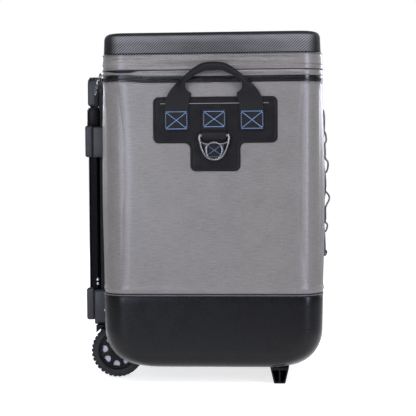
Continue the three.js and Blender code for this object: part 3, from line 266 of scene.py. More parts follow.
def pressed_twill(name, deep, pale):
    """Heat-pressed EVA with a twill facing: 3 mm diagonal floats that catch the light, darker in the valleys."""
    look = Look(name, Specular_IOR_Level=0.22)
    cloth = look.cloth(turn=45)
    twill = cloth.wave(3.0) * (cloth.wave(1.5, "Y") * 0.5 + 0.5)
    patches = look.place((0.35, 0.35, 1)).mottle(9, 4, 0.6).spread(0.3, 0.7)
    # painted light and shade: a painted highlight on the shoulder under a painted dark top edge, painted shade in the
    # corners, and lighter towards the ends
    x, y, z = look.place().parts()
    forward = abs(x - (MIDDLE + 3))
    # painted shade in the corners
    corner = forward.spread(HALF_DEPTH - 27, HALF_DEPTH - 15) * abs(y).spread(HALF_WIDTH - 60, HALF_WIDTH - 30)
    # the painted corner shade joined with a painted dark band along the top edge
    edge = corner.larger(z.spread(CAP_HIGH - 11.5, CAP_HIGH - 9))
    # the share of colour the painted shade leaves, with the very top a little lighter again
    kept = edge.spread(0, 1, 1, 0.1) + z.spread(CAP_HIGH - 5, CAP_HIGH - 2, 0, 0.3)
    # a painted highlight along the shoulder
    painted_shoulder_highlight = z.spread(CAP_HIGH - 22, CAP_HIGH - 14, 0.0, 0.7)
    # all the painted light and shade together, lighter towards the ends; it also sets the roughness
    painted_light = (forward.spread(40, 140, 0.72, 1.25) + painted_shoulder_highlight) * kept
    colour = ((twill * 0.9 + patches * 0.1) * painted_light).mix(deep, pale)
    gloss = twill * painted_light.spread(0.1, 1.2)
    return look.surface(colour, gloss.spread(0, 1, 0.74, 0.42), twill, 0.05)


def moulded(name, pale, deep, grain_size, depth, rough, specular=0.35, **constants):
    """Injection moulded plastic or rubber: a spark-eroded grain with the odd rubbed patch."""
    look = Look(name, Specular_IOR_Level=specular, **constants)
    at = look.place()
    grain = at.node("TexVoronoi", {"feature": "SMOOTH_F1"}, {"Vector": at, "Scale": 1 / grain_size}, "Distance")
    rub = at.mottle(22, 4, 0.6).spread(0.35, 0.7)
    colour = (grain * 0.5 + rub * 0.5).mix(pale, deep)
    return look.surface(colour, rub.spread(0, 1, rough - 0.05, rough + 0.06), grain, depth)


def webbing_weave(name, pale, deep, rib=1.9):
    """Nylon webbing: cross ribs with a fine herringbone between, dull with a soft sheen at grazing angles."""
    look = Look(name, Specular_IOR_Level=0.22, Sheen_Weight=0.08, Sheen_Roughness=0.4)
    weave = look.cloth().wave(rib, "Y", 0.25) * 0.65 + look.cloth(turn=35).wave(1.1) * 0.35
    fuzz = look.place().mottle(2.2, 3, 0.7)
    colour = (weave * fuzz.spread(0.2, 0.8, 0.5, 1.0)).mix(deep, pale)
    return look.surface(colour, fuzz.spread(0, 1, 0.42, 0.58), weave, 0.08)


def sewing_thread(name, pale, deep):
    """Bonded polyester thread: two plies twisted, with a slight gloss."""
    look = Look(name, Specular_IOR_Level=0.4, Sheen_Weight=0.2)
    twist = look.cloth(turn=30).wave(0.9)
    fuzz = look.place().mottle(3)
    return look.surface((twist * fuzz).mix(pale, deep), fuzz.spread(0, 1, 0.47, 0.63), twist, 0.12)


def braid(name, pale, deep, flecked=False):
    """Braided polyester sleeve over rubber strands: crossing diagonal plaits, with lighter flecks if asked for."""
    look = Look(name, Specular_IOR_Level=0.35, Sheen_Weight=0.25)
    plait = look.cloth(turn=40).wave(1.1).larger(look.cloth(turn=-40).wave(1.1))
    colour = plait.mix(deep, pale)
    if flecked:
        spots = plait.node("TexVoronoi", None, {"Vector": look.cloth(), "Scale": 1 / 3.2}, "Color")
        colour = spots.node("SeparateColor", None, {0: spots}).spread(0.5, 0.6).mix(colour, "#e9e9ec")
    return look.surface(colour, plait.spread(0, 1, 0.75, 0.55), plait, 0.25)


def metal(name, pale, deep, rough, scratch):
    """Cast, drawn or turned metal: fine marks along one way and small changes of polish."""
    look = Look(name, Metallic=1.0)
    marks = look.place((1, 1, 0.15)).mottle(scratch, 5, 0.7)
    colour = marks.spread(0.3, 0.7).mix(pale, deep)
    return look.surface(colour, marks.spread(0, 1, rough - 0.07, rough + 0.1), marks, 0.03)


shell_cloth = coated_oxford("shell_coated_oxford", "#98938d", "#7a7670", 0.24, 0.33)
band_cloth = coated_oxford("lid_band_coated_oxford", "#a39d96", "#7f7a74", 0.22, 0.32, crease_shaded=True)
lid_facing = pressed_twill("twill_pressed_foam", "#0f0f10", "#8c8b8c")
base_rubber = moulded("base_tpu_coated", "#141416", "#0e0e10", 0.9, 0.014, 0.28, 0.24,
                      Sheen_Weight=0.3, Sheen_Roughness=0.3)
body_plastic = moulded("polypropylene_black", "#333336", "#28282b", 0.7, 0.02, 0.42)
frame_plastic = moulded("polypropylene_frame_black", "#151517", "#0d0d0f", 0.7, 0.02, 0.4, 0.14)
patch_tpu = moulded("patch_tpu", "#252426", "#0c0c0d", 0.6, 0.015, 0.4, 0.1)
tyre_rubber = moulded("tyre_rubber", "#222225", "#161618", 0.8, 0.07, 0.62)
disc_plastic = moulded("wheel_disc_grey_abs", "#cfd0db", "#bfc0cb", 0.7, 0.03, 0.42, 0.5)
liner_sheet = moulded("liner_white_peva", "#e2e4e6", "#d3d6d9", 5.0, 0.08, 0.3, 0.5)
foam_cells = moulded("insulation_foam", "#dad7ce", "#c6c2b7", 1.6, 0.2, 0.85, 0.2)
zip_coating = moulded("zip_tape_urethane", "#19191b", "#101012", 1.2, 0.012, 0.24, 0.5)
black_webbing = webbing_weave("webbing_black_nylon", "#252427", "#0c0b0c")
binding_webbing = webbing_weave("binding_black_grosgrain", "#1d1d20", "#0f0f11", 1.2)
blue_thread = sewing_thread("thread_blue", "#9cc2ec", "#6e9cd6")
grey_thread = sewing_thread("thread_grey", "#8d8c92", "#6f6e74")
dark_thread = sewing_thread("thread_black", "#2e2e31", "#18181a")
pale_piping = sewing_thread("piping_pale", "#a09d9a", "#858280")
bungee_sleeve = braid("bungee_sleeve_black", "#19191b", "#0a0a0b")
fleck_cord = braid("pull_cord_flecked", "#2a2a2d", "#151517", flecked=True)
black_tube = metal("tube_black_anodised", "#18181a", "#0f0f11", 0.4, 1.2)
cast_zinc = metal("ring_cast_zinc_satin", "#a6a2a0", "#7d7a78", 0.26, 2.5)
axle_steel = metal("axle_steel", "#a8aaad", "#8f9194", 0.3, 0.8)
screw_zinc = metal("screw_zinc", "#b9bcc0", "#9a9da1", 0.25, 0.6)


# ---------- making pieces

def put(name, mesh):
    """Puts a mesh in the scene."""
    made = bpy.data.objects.new(name, mesh)
    bpy.context.scene.collection.objects.link(made)
    return made


def mesh_of(name, bm):
    mesh = bpy.data.meshes.new(name)
    bm.to_mesh(mesh)
    bm.free()
    return mesh


def modify(made, kind, **settings):
    change = made.modifiers.new(kind, kind)
    for key, value in settings.items():
        setattr(change, key, value)


def applied(made):
    """The mesh of an object after its modifiers; the object goes."""
    bpy.context.view_layer.update()
    mesh = bpy.data.meshes.new_from_object(made.evaluated_get(bpy.context.evaluated_depsgraph_get()))
    bpy.data.objects.remove(made)
    return mesh


def piece(name, mesh, material, body, sharp=40, replaced="", slot=None):
    """A mesh as a piece that rides on a body and may stand for CAD nodes, named with spaces between."""
    made = put(name, mesh)
    made.data.materials.append(material)
    mesh.shade_smooth()
    mesh.set_sharp_from_angle(angle=math.radians(sharp))
    if body:
        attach(made, body)
    if replaced:
        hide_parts(*replaced.split())
    return made


def lay_uv(bm, place_of):
    """Gives every corner its place on the cloth, in millimetres."""
    layer = bm.loops.layers.uv.new("UVMap")
    for face in bm.faces:
        for loop in face.loops:
            loop[layer].uv = place_of(face, loop.vert)


def box_uv(face, vert):
    """Projects along the face's main direction, for moulded and sheet pieces."""
    n, co = face.normal, vert.co / MM
    if abs(n.z) > 0.7:
        return co.x, co.y
    return (co.y, co.z) if abs(n.x) > abs(n.y) else (co.x, co.z)


def to_mesh(name, bm, place_of=box_uv):
    """Ends a form made in millimetres: scaled, its faces turned outward and its map laid."""
    bmesh.ops.scale(bm, vec=(MM, MM, MM), verts=bm.verts)
    bm.normal_update()
    bmesh.ops.recalc_face_normals(bm, faces=bm.faces)
    lay_uv(bm, place_of)
    return mesh_of(name, bm)


def running(points):
    """Distance along a line at each of its points."""
    lengths = [0.0]
    for before, after in zip(points, points[1:]):
        lengths.append(lengths[-1] + (after - before).length)
    return lengths


def net(bm, rows, seam):
    """Corners at rows of points, and each one's distance along its row and along the seam, a line across the rows."""
    grid = [[bm.verts.new(p) for p in row] for row in rows]
    across, along = running(rows[len(rows) // 2]), running(seam)
    return grid, {vert: (across[i], along[k]) for k, row in enumerate(grid) for i, vert in enumerate(row)}


def quads(bm, grid, round_rows=False, round_columns=False):
    """Faces between neighbouring rows of corners."""
    count = len(grid[0])
    for k in range(len(grid) - (not round_columns)):
        low, high = grid[k], grid[(k + 1) % len(grid)]
        for i in range(count - (not round_rows)):
            bm.faces.new((low[i], low[(i + 1) % count], high[(i + 1) % count], high[i]))


def skin(name, rows, round_rows=True, round_columns=False, by_direction=False):
    """Joins rows of points into one closed form, with a map measured along and across it.

    round_rows closes each row on itself, round_columns joins the last row to the first; what stays
    open is capped. by_direction maps what faces up or down from above.
    """
    bm = bmesh.new()
    seam = [row[len(row) // 3] for row in rows]
    grid, spot = net(bm, rows, seam)
    around, full = (running(line + line[:1])[-1] for line in (rows[len(rows) // 2], seam))
    quads(bm, grid, round_rows, round_columns)
    if not round_columns:
        bm.faces.new(grid[0][::-1])
        bm.faces.new(grid[-1])
    elif not round_rows:
        bm.faces.new([row[0] for row in grid])
        bm.faces.new([row[-1] for row in grid[::-1]])

    def place_of(face, vert):
        if by_direction and abs(face.normal.z) > 0.7:
            return vert.co.x / MM, vert.co.y / MM
        u, v = spot[vert]
        us, vs = zip(*(spot[other] for other in face.verts))
        if round_rows and max(us) - min(us) > around / 2 > u:
            u += around
        if round_columns and max(vs) - min(vs) > full / 2 > v:
            v += full
        return u, v

    return to_mesh(name, bm, place_of)


def form(name, rows, material, body, sharp=40, round_columns=False, **kept):
    """A piece skinned over closed rows."""
    return piece(name, skin(name, rows, True, round_columns), material, body, sharp, **kept)


def lathe(at, side, up, out, profile, count):
    """Rings of (radius, height) about a place: side and up span each ring, out carries it along."""
    turns = [2 * math.pi / count * i for i in range(count)]
    return [[at + side * (r * math.cos(t)) + up * (r * math.sin(t)) + out * d for t in turns] for r, d in profile]


def tube(name, points, radius, sides=8, closed=False):
    """A round cord along points, its frame carried along without twist. radius may be a list."""
    rows, side, count = [], None, len(points)
    for k, at in enumerate(points):
        before = points[k - 1] if closed or k else at
        after = points[(k + 1) % count] if closed or k < count - 1 else at
        along = (after - before).normalized()
        side = side or along.orthogonal().normalized()
        side = (side - along * side.dot(along)).normalized()
        size = radius[k] if isinstance(radius, list) else radius
        rows += lathe(at, side, along.cross(side), along, [(size, 0)], sides)
    return skin(name, rows, round_columns=closed)


def smooth_line(points, steps, power=0.0):
    """A Catmull-Rom line through points, steps places to each stretch.

    With a power of 0.5 it is centripetal, and turns round loops without overshooting.
    """
    before, after = (2 * points[0] - points[1], 2 * points[-1] - points[-2]) if power else (points[0], points[-1])
    ends, made = [before, *points, after], []
    for a, b, c, d in zip(ends, ends[1:], ends[2:], ends[3:]):
        t1 = (b - a).length ** power
        t2 = t1 + (c - b).length ** power
        t3 = t2 + (d - c).length ** power
        for t in (t1 + (t2 - t1) * i / steps for i in range(steps)):
            ab, bc, cd = a.lerp(b, t / t1), b.lerp(c, (t - t1) / (t2 - t1)), c.lerp(d, (t - t2) / (t3 - t2))
            made.append(ab.lerp(bc, t / t2).lerp(bc.lerp(cd, (t - t1) / (t3 - t1)), (t - t1) / (t2 - t1)))
    return made + [points[-1].copy()]


def evenly(points, pitch):
    """Places a pitch apart along a line, each with its direction."""
    lengths = running(points)
    count = max(int(lengths[-1] / pitch), 1)
    spots, k = [], 0
    for i in range(count):
        want = (i + 0.5) * lengths[-1] / count
        while lengths[k + 1] < want:
            k += 1
        share = (want - lengths[k]) / max(lengths[k + 1] - lengths[k], 1e-6)
        spots.append((points[k].lerp(points[k + 1], share), (points[k + 1] - points[k]).normalized()))
    return spots


# rings of one stitch: place along it, share of its radius and how far it rises, sunk into the cloth at both ends
STITCH = ((-1, 0.35, -0.45), (-0.7, 0.9, -0.1), (0, 1, 0.12), (0.7, 0.9, -0.1), (1, 0.35, -0.45))


def stitches(name, runs, thread, body, stitch):
    """Lock stitches of a (pitch, length, radius) along lines.

    Each run is (points, outward direction or None for away from the middle).
    """
    pitch, length, radius = stitch
    bm = bmesh.new()
    for points, outward in runs:
        for at, along in evenly(points, pitch):
            out = outward or Vector((at.x - MIDDLE, at.y, 0)).normalized()
            side = along.cross(out).normalized()
            rings = []
            for t, size, rise in STITCH:
                centre = at + along * (t * length / 2) + out * (rise * radius)
                ring, = lathe(centre, side, out, along, [(size * radius, 0)], 6)
                rings.append([bm.verts.new(p) for p in ring])
            quads(bm, rings, True)
            bm.faces.new(rings[0][::-1])
            bm.faces.new(rings[-1])
    return piece(name, to_mesh(name, bm), thread, body, 70)


def softened(node, width, material, segments=2):
    """A moulded copy of a CAD node with its hard edges rounded, in place of the node."""
    name = f"{node}_moulded"
    bm = bmesh.new()
    bm.from_mesh(nodes[node].data)
    bmesh.ops.remove_doubles(bm, verts=bm.verts, dist=2e-6)
    bmesh.ops.dissolve_limit(bm, angle_limit=math.radians(1), verts=bm.verts, edges=bm.edges)
    made = put(name, mesh_of(name, bm))
    modify(made, "BEVEL", width=width * MM, segments=segments, angle_limit=math.radians(28),
           use_clamp_overlap=True, miter_outer="MITER_ARC")
    bm = bmesh.new()
    bm.from_mesh(applied(made))
    bm.normal_update()
    lay_uv(bm, box_uv)
    return piece(name, mesh_of(name, bm), material, nodes[node]["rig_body"], 35, node)


def thick(name, lines, thickness, material, body, **kept):
    """A tape of a thickness from its cross lines, round at its edges."""
    bm = bmesh.new()
    grid, spot = net(bm, lines, [line[0].lerp(line[-1], 0.1) for line in lines])
    quads(bm, grid)
    bm.normal_update()
    lay_uv(bm, lambda face, vert: spot[vert])
    bmesh.ops.scale(bm, vec=(MM, MM, MM), verts=bm.verts)
    made = put(name, mesh_of(name, bm))
    modify(made, "SOLIDIFY", thickness=thickness * MM, offset=0)
    modify(made, "BEVEL", width=thickness * 0.35 * MM, segments=2, angle_limit=math.radians(50))
    return piece(name, applied(made), material, body, 50, **kept)


def dress(material, *names):
    """Gives CAD nodes whose shape is right their finish."""
    for name in names:
        nodes[name].data.materials.clear()
        nodes[name].data.materials.append(material)


def both_sides(*names):
    return [f"{name}_{side}" for name in names for side in ("near", "far")]


def moved(made, change):
    """Shifts or turns a piece's mesh in the shared frame."""
    made.data.transform(made.matrix_world.inverted() @ change @ made.matrix_world)
    return made


def shifted(x, y, z):
    return Matrix.Translation((x, y, z))


def eased(share):
    share = min(max(share, 0), 1)
    return share ** 2 * (3 - 2 * share)


# ---------- round the body

def corner_arcs(across, out, radius, steps):
    """The rounded corners of a box seen from above, from the rear's near one round to its far one:
    places with outward directions."""
    arcs = []
    for k, (a, b) in enumerate(((-1, -1), (1, -1), (1, 1), (-1, 1))):
        centre = Vector((MIDDLE + a * (across - radius), b * (out - radius), 0))
        turns = [math.radians(90 * (k + 2 + i / steps)) for i in range(steps + 1)]
        ways = [Vector((math.cos(t), math.sin(t), 0)) for t in turns]
        arcs.append([(centre + way * radius, way) for way in ways])
    return arcs


def outline(inset=0.0, rear_gap=0.0, spacing=12.0, steps=8, corner=CORNER):
    """Places round the body seen from above with outward directions, from the rear's near half
    along the near side, the front and the far side back to the rear. rear_gap leaves its middle open."""
    across = HALF_DEPTH - inset
    stops = corner_arcs(across, HALF_WIDTH - inset, min(max(corner - inset, 1.0), across), steps)
    places, end = ([(Vector((MIDDLE - across, y, 0)), -X)] for y in (-rear_gap, rear_gap))
    # the counts come from the body's own sides, so that rings of every inset match
    rear, side = HALF_WIDTH - CORNER - rear_gap, 2 * (HALF_DEPTH - CORNER)
    for stop, length in zip([*stops, end], (rear, side, 2 * (HALF_WIDTH - CORNER), side, rear)):
        count = max(1, round(length / spacing))
        at, direction = places[-1]
        places += [(at.lerp(stop[0][0], k / count), direction) for k in range(1, count)] + stop
    return places if rear_gap else places[:-1]


def padding(at, direction, z):
    """How the filled cloth leaves the frame at a place round the body: it swells to the front and at the
    rear corners, and its corners are rounder half way up."""
    if not BASE_TOP < z < SHELL_HIGH:
        return Vector((0, 0, 0))
    full = fullness(z)
    forward = (at.x - MIDDLE) / (HALF_DEPTH - CORNER)
    aside = at.y / (HALF_WIDTH - CORNER)
    behind = eased(0.2 - 0.8 * forward) * eased((abs(at.y) - 132) / 36)
    slack = CORNER_SLACK * full ** 0.4
    swell = (FRONT_SWELL * eased(forward / 2 + 0.5) - REAR_SWELL * behind) * full
    x, y = (way - max(-1, min(1, share)) for way, share in ((direction.x, forward), (direction.y, aside)))
    return Vector((swell + slack * x, slack * y, 0))


def fullness(z):
    """How full the shell is at a height: 0 at its seams, 1 half way up."""
    return math.sin((z - BASE_TOP) / (SHELL_HIGH - BASE_TOP) * math.pi)


def front_at(z):
    """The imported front's face at a height."""
    return MIDDLE + HALF_DEPTH + FRONT_SWELL * fullness(z)


def on_cloth(at, direction, out, z, lift=0.0):
    """A place round the body, out from its cloth at a height. The zip and the cloth beside it are drawn up
    at the rear corners."""
    point = at + direction * out + Z * (z + lift) + padding(at, direction, z)
    back = eased((MIDDLE - 100 - point.x) / 45) * eased((abs(point.y) - 150) / 36)
    drawn = eased((point.z - SHELL_HIGH + 24) / 22) - eased((point.z - BAND_LOW) / (LID_HEM - BAND_LOW))
    return point + Z * (CORNER_DRAW * back * drawn)


def band(name, profile, material, body, rear_gap=0.0, spacing=12.0, move=None, steps=8, level=0.0, **kept):
    """Sweeps a closed profile of (out, height above a level) round the body.

    move(place, direction, run, out, z) may shift points.
    """
    path = outline(rear_gap=rear_gap, spacing=spacing, steps=steps)
    runs = running([at for at, direction in path])
    rows = []
    for out, z in profile:
        z += level
        rows.append([])
        for (at, direction), run in zip(path, runs):
            push, lift = move(at, direction, run, out, z) if move else (0, 0)
            rows[-1].append(on_cloth(at, direction, out + push, z, lift))
    return piece(name, skin(name, rows, rear_gap == 0, True), material, body, **kept)


def line_round(out, z, rear_gap=0.0):
    """A line round the body at a height, for stitches and piping."""
    return [on_cloth(at, direction, out, z) for at, direction in outline(rear_gap=rear_gap, spacing=8.0)]


def pucker(run, depth, pitch, seed):
    """Small gathers along a seam, uneven in size."""
    drift = 3 * waver(run / 60, seed, 0)
    return depth * (math.sin(run * 2 * math.pi / pitch + drift) * 0.5 + waver(run / 37, seed, 0.3))


def waver(x, y, z):
    """Smooth unevenness from -1 to 1, the same each run."""
    return noise.noise(Vector((x, y, z)))


# ---------- shell, base and trim

def shell_profile():
    """The shell's outside from its lower seam up to the zip, then back down its inside."""
    height = SHELL_HIGH - SHELL_LOW
    ends = [0, 0.8, 2, 4, 5.5, 7, 8.5, 10, 11.5, 13, 15, 18, 25, 36]
    levels = [SHELL_LOW + e for e in ends] + [SHELL_LOW + 36 + (height - 72) * k / 20 for k in range(1, 20)]
    levels += [SHELL_HIGH - e for e in ends[::-1]]

    def tuck(z):
        foot, head = z - SHELL_LOW, SHELL_HIGH - z
        roll = 0.9 * math.exp(-((foot - 8) / 3.2) ** 2)
        return roll - 1.7 * math.exp(-foot / 2.2) - 1.1 * math.exp(-head / 1.6)

    return [(tuck(z), z) for z in levels] + [(-1.8, SHELL_HIGH), (-1.8, SHELL_LOW)]


def shell_move(at, direction, run, out, z):
    """Gathers at both seams and a slight unevenness of the padding, none under the patches."""
    foot, head = z - SHELL_LOW, SHELL_HIGH - z
    gathers = pucker(run, 0.5, 13, 1.7) * math.exp(-((foot - 5) / 7) ** 2)
    gathers += pucker(run, 0.3, 9, 4.1) * math.exp(-((head - 5) / 5) ** 2)
    loose = 0.55 * waver(at.x / 70, at.y / 70, z / 60)
    bare = min(1, max(0, abs(at.x - MIDDLE) - 100) / 40) if abs(direction.y) > 0.99 else 1
    return min(gathers + loose * bare, 0.1 if bare < 1 else 1), 0


def base_ring(height, inset=0.0):
    """A ring of the base: its lower edge is drawn in far at front and rear, less at the sides."""
    rise = height - BASE_FOOT
    draft = 2 * (1 - rise / (BASE_TOP - BASE_FOOT))

    def half(size, radius):
        drawn_in = 0 if rise >= radius else radius - math.sqrt(radius ** 2 - (radius - rise) ** 2)
        return size - inset - draft - drawn_in

    arcs = corner_arcs(half(HALF_DEPTH, END_ROLL), half(HALF_WIDTH, SIDE_ROLL), CORNER - inset, 12)
    arcs = [[at + Z * height for at, direction in arc] for arc in arcs]
    ring = []
    for arc, following in zip(arcs, arcs[1:] + arcs[:1]):
        ring += arc + [arc[-1].lerp(following[0], k / 12) for k in range(1, 12)]
    return ring


def base():
    """The moulded base: a shell with wells for the wheels and axle, its rim rolled in under the piping."""
    heights = [BASE_FOOT + END_ROLL * (1 - math.cos(i / 18 * math.pi / 2)) for i in range(19)]
    heights += [BASE_FOOT + END_ROLL + (BASE_TOP - 3 - BASE_FOOT - END_ROLL) * k / 5 for k in range(1, 6)]
    rims = ((BASE_TOP - 1.4, 0.3), (BASE_TOP - 0.4, 1.1), (BASE_TOP, 2.4), (BASE_TOP, 3))
    rows = [base_ring(h) for h in heights] + [base_ring(*rim) for rim in rims]
    rows.append([Vector((p.x, p.y, 100)) for p in rows[-1]])
    block = put("base_block", skin("base_block", rows))
    wheel = middle_of("tyre_near")
    tools = []
    for y, (radius, half) in ((wheel.y, WELL), (-wheel.y, WELL), (0, AXLE_WELL)):
        bm = bmesh.new()
        across = shifted(wheel.x, y, wheel.z) @ Matrix.Rotation(math.pi / 2, 4, "X")
        bmesh.ops.create_cone(bm, cap_ends=True, segments=72, radius1=radius, radius2=radius, depth=2 * half,
                              matrix=across)
        tools.append(put("well", to_mesh("well", bm)))
        modify(block, "BOOLEAN", operation="DIFFERENCE", object=tools[-1], solver="EXACT")
    piece("base_shell", applied(block), base_rubber, "cooler_body", 35, "base_tub")
    for tool in tools:
        bpy.data.objects.remove(tool)


shell = band("shell", shell_profile(), shell_cloth, "cooler_body", spacing=6, move=shell_move, steps=24,
             replaced="outer_shell")
foam_levels = [4 + (SHELL_HIGH - SHELL_LOW - 8) * k / 14 for k in range(15)]
band("foam_wall", [(-3.2, z) for z in foam_levels] + [(-9, z) for z in foam_levels[::-1]], foam_cells, "cooler_body",
     spacing=14, level=SHELL_LOW, replaced="body_foam")
base()

# the seam between base and shell: a dark binding tape with a pale cord showing in it
seam = [(-1.2, -1.4), (0.5, -1.1), (0.8, 0.4), (0.3, 1.3), (0.8, 2.2), (0.5, 3.5), (-1.2, 3.9)]
band("seam_binding", seam, binding_webbing, "cooler_body", spacing=10, level=BASE_TOP, replaced="base_trim")
piece("seam_cord", tube("seam_cord", line_round(0.3, BASE_TOP + 1.3), 0.5, 6, closed=True), grey_thread, "cooler_body")

# ---------- zip

def zip_tape(half, edge, teeth, body, node):
    """One coated half of the zip from its sewn edge to its lip over the teeth."""
    rise = 1 if teeth > edge else -1
    profile = [(out, edge + z * rise) for out, z in ((-1.3, 0), (0.25, 0), (0.4, 0.5), (0.35, 1.2))]
    profile += [(out, teeth - z * rise) for out, z in ((0.55, 2.2), (1.0, 1.1), (0.95, 0.35), (0.5, 0), (-0.8, 0))]
    band(f"zip_tape_{half}", profile, zip_coating, body, HINGE_HALF + 3, 10, replaced=node)


zip_tape("lower", SHELL_HIGH + 0.2, ZIP_LINE - 0.15, "cooler_body", "zip_tape_body")
zip_tape("upper", ZIP_LINE + RIM - 0.1, ZIP_LINE + 0.2, "lid", "zip_tape_lid")
for half, out, z, body in (
    ("lower", 0.15, SHELL_HIGH - 1.6, "cooler_body"),
    ("upper", 0.25, ZIP_LINE + RIM + 1.9, "lid"),
):
    stitches(f"zip_seam_{half}", [(line_round(out, z, HINGE_HALF), None)], grey_thread, body, PLAIN_STITCH)

# ---------- lid

def gape(at, direction):
    """How far the fold stands open: the zip pulls the cloth round at the rear corners of both sides."""
    return eased(1.25 - abs(at.x - GAPE_AT) / 24) * min(1, abs(direction.y) * 1.5)


def band_profile():
    """The wide band above the fold, from its foot up, drawn in again under the cap's binding."""
    height = BAND_HIGH - BAND_FOOT
    sides = [(0.95 - 0.9 * share ** 3, (height - 0.8) * share) for share in (k / 16 for k in range(17))]
    return [(-3.2, -0.7), (-1.8, -0.7), (0.2, -0.4), *sides, (-0.9, height - 0.1), (-4.2, height - 0.1), (-4.2, -0.7)]


def hem_move(at, direction, run, out, z):
    """The hem is drawn down and in where the fold gapes."""
    share = (z - BAND_LOW) / (LID_HEM - BAND_LOW)
    opened = gape(at, direction) if out >= -3 else 0
    return opened * (0.9 * math.sin(share * math.pi) - 2.6 * share ** 2), -4.2 * opened * share


def band_move(at, direction, run, out, z):
    """Long drawn creases along the band, and its foot lifted where the fold gapes."""
    if out < -3:
        return 0, 0
    share = (z - BAND_FOOT) / (BAND_HIGH - BAND_FOOT)
    creases = 0.85 * waver(run / 75, z / 3.6, 2.5) + 0.35 * waver(run / 22, z / 2.4, 7.1)
    held = max(math.sin(min(max(share, 0), 1) * math.pi), 0.2)
    lifted = gape(at, direction) * max(0, 1 - max(share, 0) * 4)
    return creases * held + 0.4 * lifted, 0.6 * lifted


def cap_ring(z, inset):
    """A ring of the cap seen from above, moved in from the body's face."""
    return [at + Z * z for at, direction in outline(inset, spacing=14, steps=12, corner=max(CORNER, inset + 14))]


def lid_top():
    """The pressed foam cap: leaning sides, a round edge and a low crown."""
    rim, edge, crown, bend = 2.5, CAP_HIGH - 4, 4, 10
    rows = [cap_ring(CAP_LOW + z, rim + inset) for z, inset in ((-0.2, 6), (-0.2, 0.6), (1.2, -0.1), (6, 0.25))]
    for t in (math.pi / 2 * i / 12 for i in range(13)):
        rows.append(cap_ring(edge - bend * (1 - math.sin(t)), rim + 1 + bend * (1 - math.cos(t))))
    span = HALF_DEPTH - rim - bend - 2
    for share in (k / 11.5 for k in range(1, 12)):
        rows.append(cap_ring(edge + crown * math.sin(share * math.pi / 2), rim + bend + 1.4 + span * share))
    piece("lid_cap_facing", skin("lid_cap_facing", rows, by_direction=True), lid_facing, "lid", 50, "lid_cap")


def hinge_cloth():
    """The cloth hinge at the rear: sewn to the shell below and to the lid's band above."""
    low, high = SHELL_HIGH - 1.5, BAND_FOOT + 1.5
    rows = []
    for k in range(25):
        ridge = 0.5 * math.sin(k / 24 * math.pi) + 0.25 * math.sin(k / 24 * 7 * math.pi)
        rows.append([Vector((REAR_FACE - 0.7 - ridge * 0.6 + 0.15 * waver(i / 4, k / 5, 1),
                             HINGE_HALF - 2 * HINGE_HALF * i / 60, low + (high - low) * k / 24)) for i in range(61)])
    rows += [[p + X * 1.1 for p in row] for row in rows[::-1]]
    made = piece("hinge_cloth", skin("hinge_cloth", rows, False, True), shell_cloth, None, 50, "hinge_panel")
    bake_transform(made)


# the plain strip of cloth above the zip, turned in at its top, and a dark strip of binding set in the fold over it to
# stand for the shade there
band("fold_shade_strip", [(-3.3, -7), (-3.3, 3.7), (-3.9, 3.7), (-3.9, -7)], binding_webbing, "lid", spacing=10,
     level=LID_HEM, slot="zip_black")
hem = [(0.0, -9), (0.3, -8.2), (0.35, -6.5), (0.35, -4.5), (0.3, -1), (-0.3, -0.2), (-2.0, 0.2), (-3.0, 0.2),
       (-4.2, 0.2), (-4.2, -9)]
band("lid_hem", hem, band_cloth, "lid", HINGE_HALF + 0.5, 5, move=hem_move, steps=14, level=LID_HEM, slot="band_fabric")
lid_band = band("lid_band_cloth", band_profile(), band_cloth, "lid", spacing=5, move=band_move, steps=14,
                level=BAND_FOOT, replaced="lid_band")
lid_top()
binding = [(-3.2, -2.2), (-0.2, -2.0), (0.25, -0.9), (-0.5, 0.5), (-1.6, 1.9), (-3.4, 2.1)]
band("cap_binding", binding, binding_webbing, "lid", spacing=10, level=BAND_HIGH)
stitches("cap_seam", [(line_round(-0.1, BAND_HIGH - 0.2), None)], grey_thread, "lid", (4.4, 3.0, 0.4))
hinge_cloth()

# ---------- patches, straps and rings

def patch_shape(inset):
    """The patch's T outline with round corners, moved in all round."""
    middle, half = (patch_low.x + patch_high.x) / 2, (patch_high.x - patch_low.x) / 2 - inset
    tab, arm_foot, outer = TAB_HALF - inset, ARM_FOOT + inset, 9 - inset
    rear = [(-half, patch_high.z - inset, outer), (-half, arm_foot, outer), (-tab, arm_foot, 9 + inset),
            (-tab, patch_low.z + inset, outer)]
    points = [(Vector((middle + x, z)), radius) for x, z, radius in rear + [(-x, *rest) for x, *rest in rear[::-1]]]
    made = []
    for (before, _), (here, radius), (after, _) in zip(points[-1:] + points, points, points[1:] + points[:1]):
        before, after = (before - here).normalized(), (after - here).normalized()
        half_turn = math.acos(max(-1, min(1, before.dot(after)))) / 2
        away = (before + after).normalized() * (radius / math.sin(half_turn))
        start, end = (way * (radius / math.tan(half_turn)) - away for way in (before, after))
        first = math.atan2(start.y, start.x)
        turn = (math.atan2(end.y, end.x) - first + math.pi) % (2 * math.pi) - math.pi
        turns = [first + turn * k / 6 for k in range(7)]
        made += [here + away + Vector((math.cos(t), math.sin(t))) * radius for t in turns]
    return made


def strap_patch(side, name):
    """The moulded patch: a rolled edge, a groove a little inside it and a flat field."""
    face = PATCH_FACE
    levels = [(0, HALF_WIDTH + 0.25), (0, face - 0.7), (0.35, face - 0.2), (1.0, face), (3.4, face), (3.9, face - 0.2),
              (4.9, face - 0.2), (5.4, face - 0.05), (7, face - 0.05)]
    rows = [[Vector((p.x, side * y, p.y)) for p in patch_shape(inset)] for inset, y in levels]
    made = form(f"patch_{name}", rows, patch_tpu, "cooler_body", 30, replaced=f"strap_patch_{name}")
    for polygon in made.data.polygons:
        if len(polygon.vertices) > 4:
            polygon.use_smooth = False
    line = [Vector((STRAP_MIDDLE + x, side * (face + 0.1), patch_high.z - 10.8)) for x in (-86, -60, 0, 60, 87)]
    piece(f"patch_piping_{name}", tube(f"patch_piping_{name}", line, 0.45, 6), pale_piping, "cooler_body")


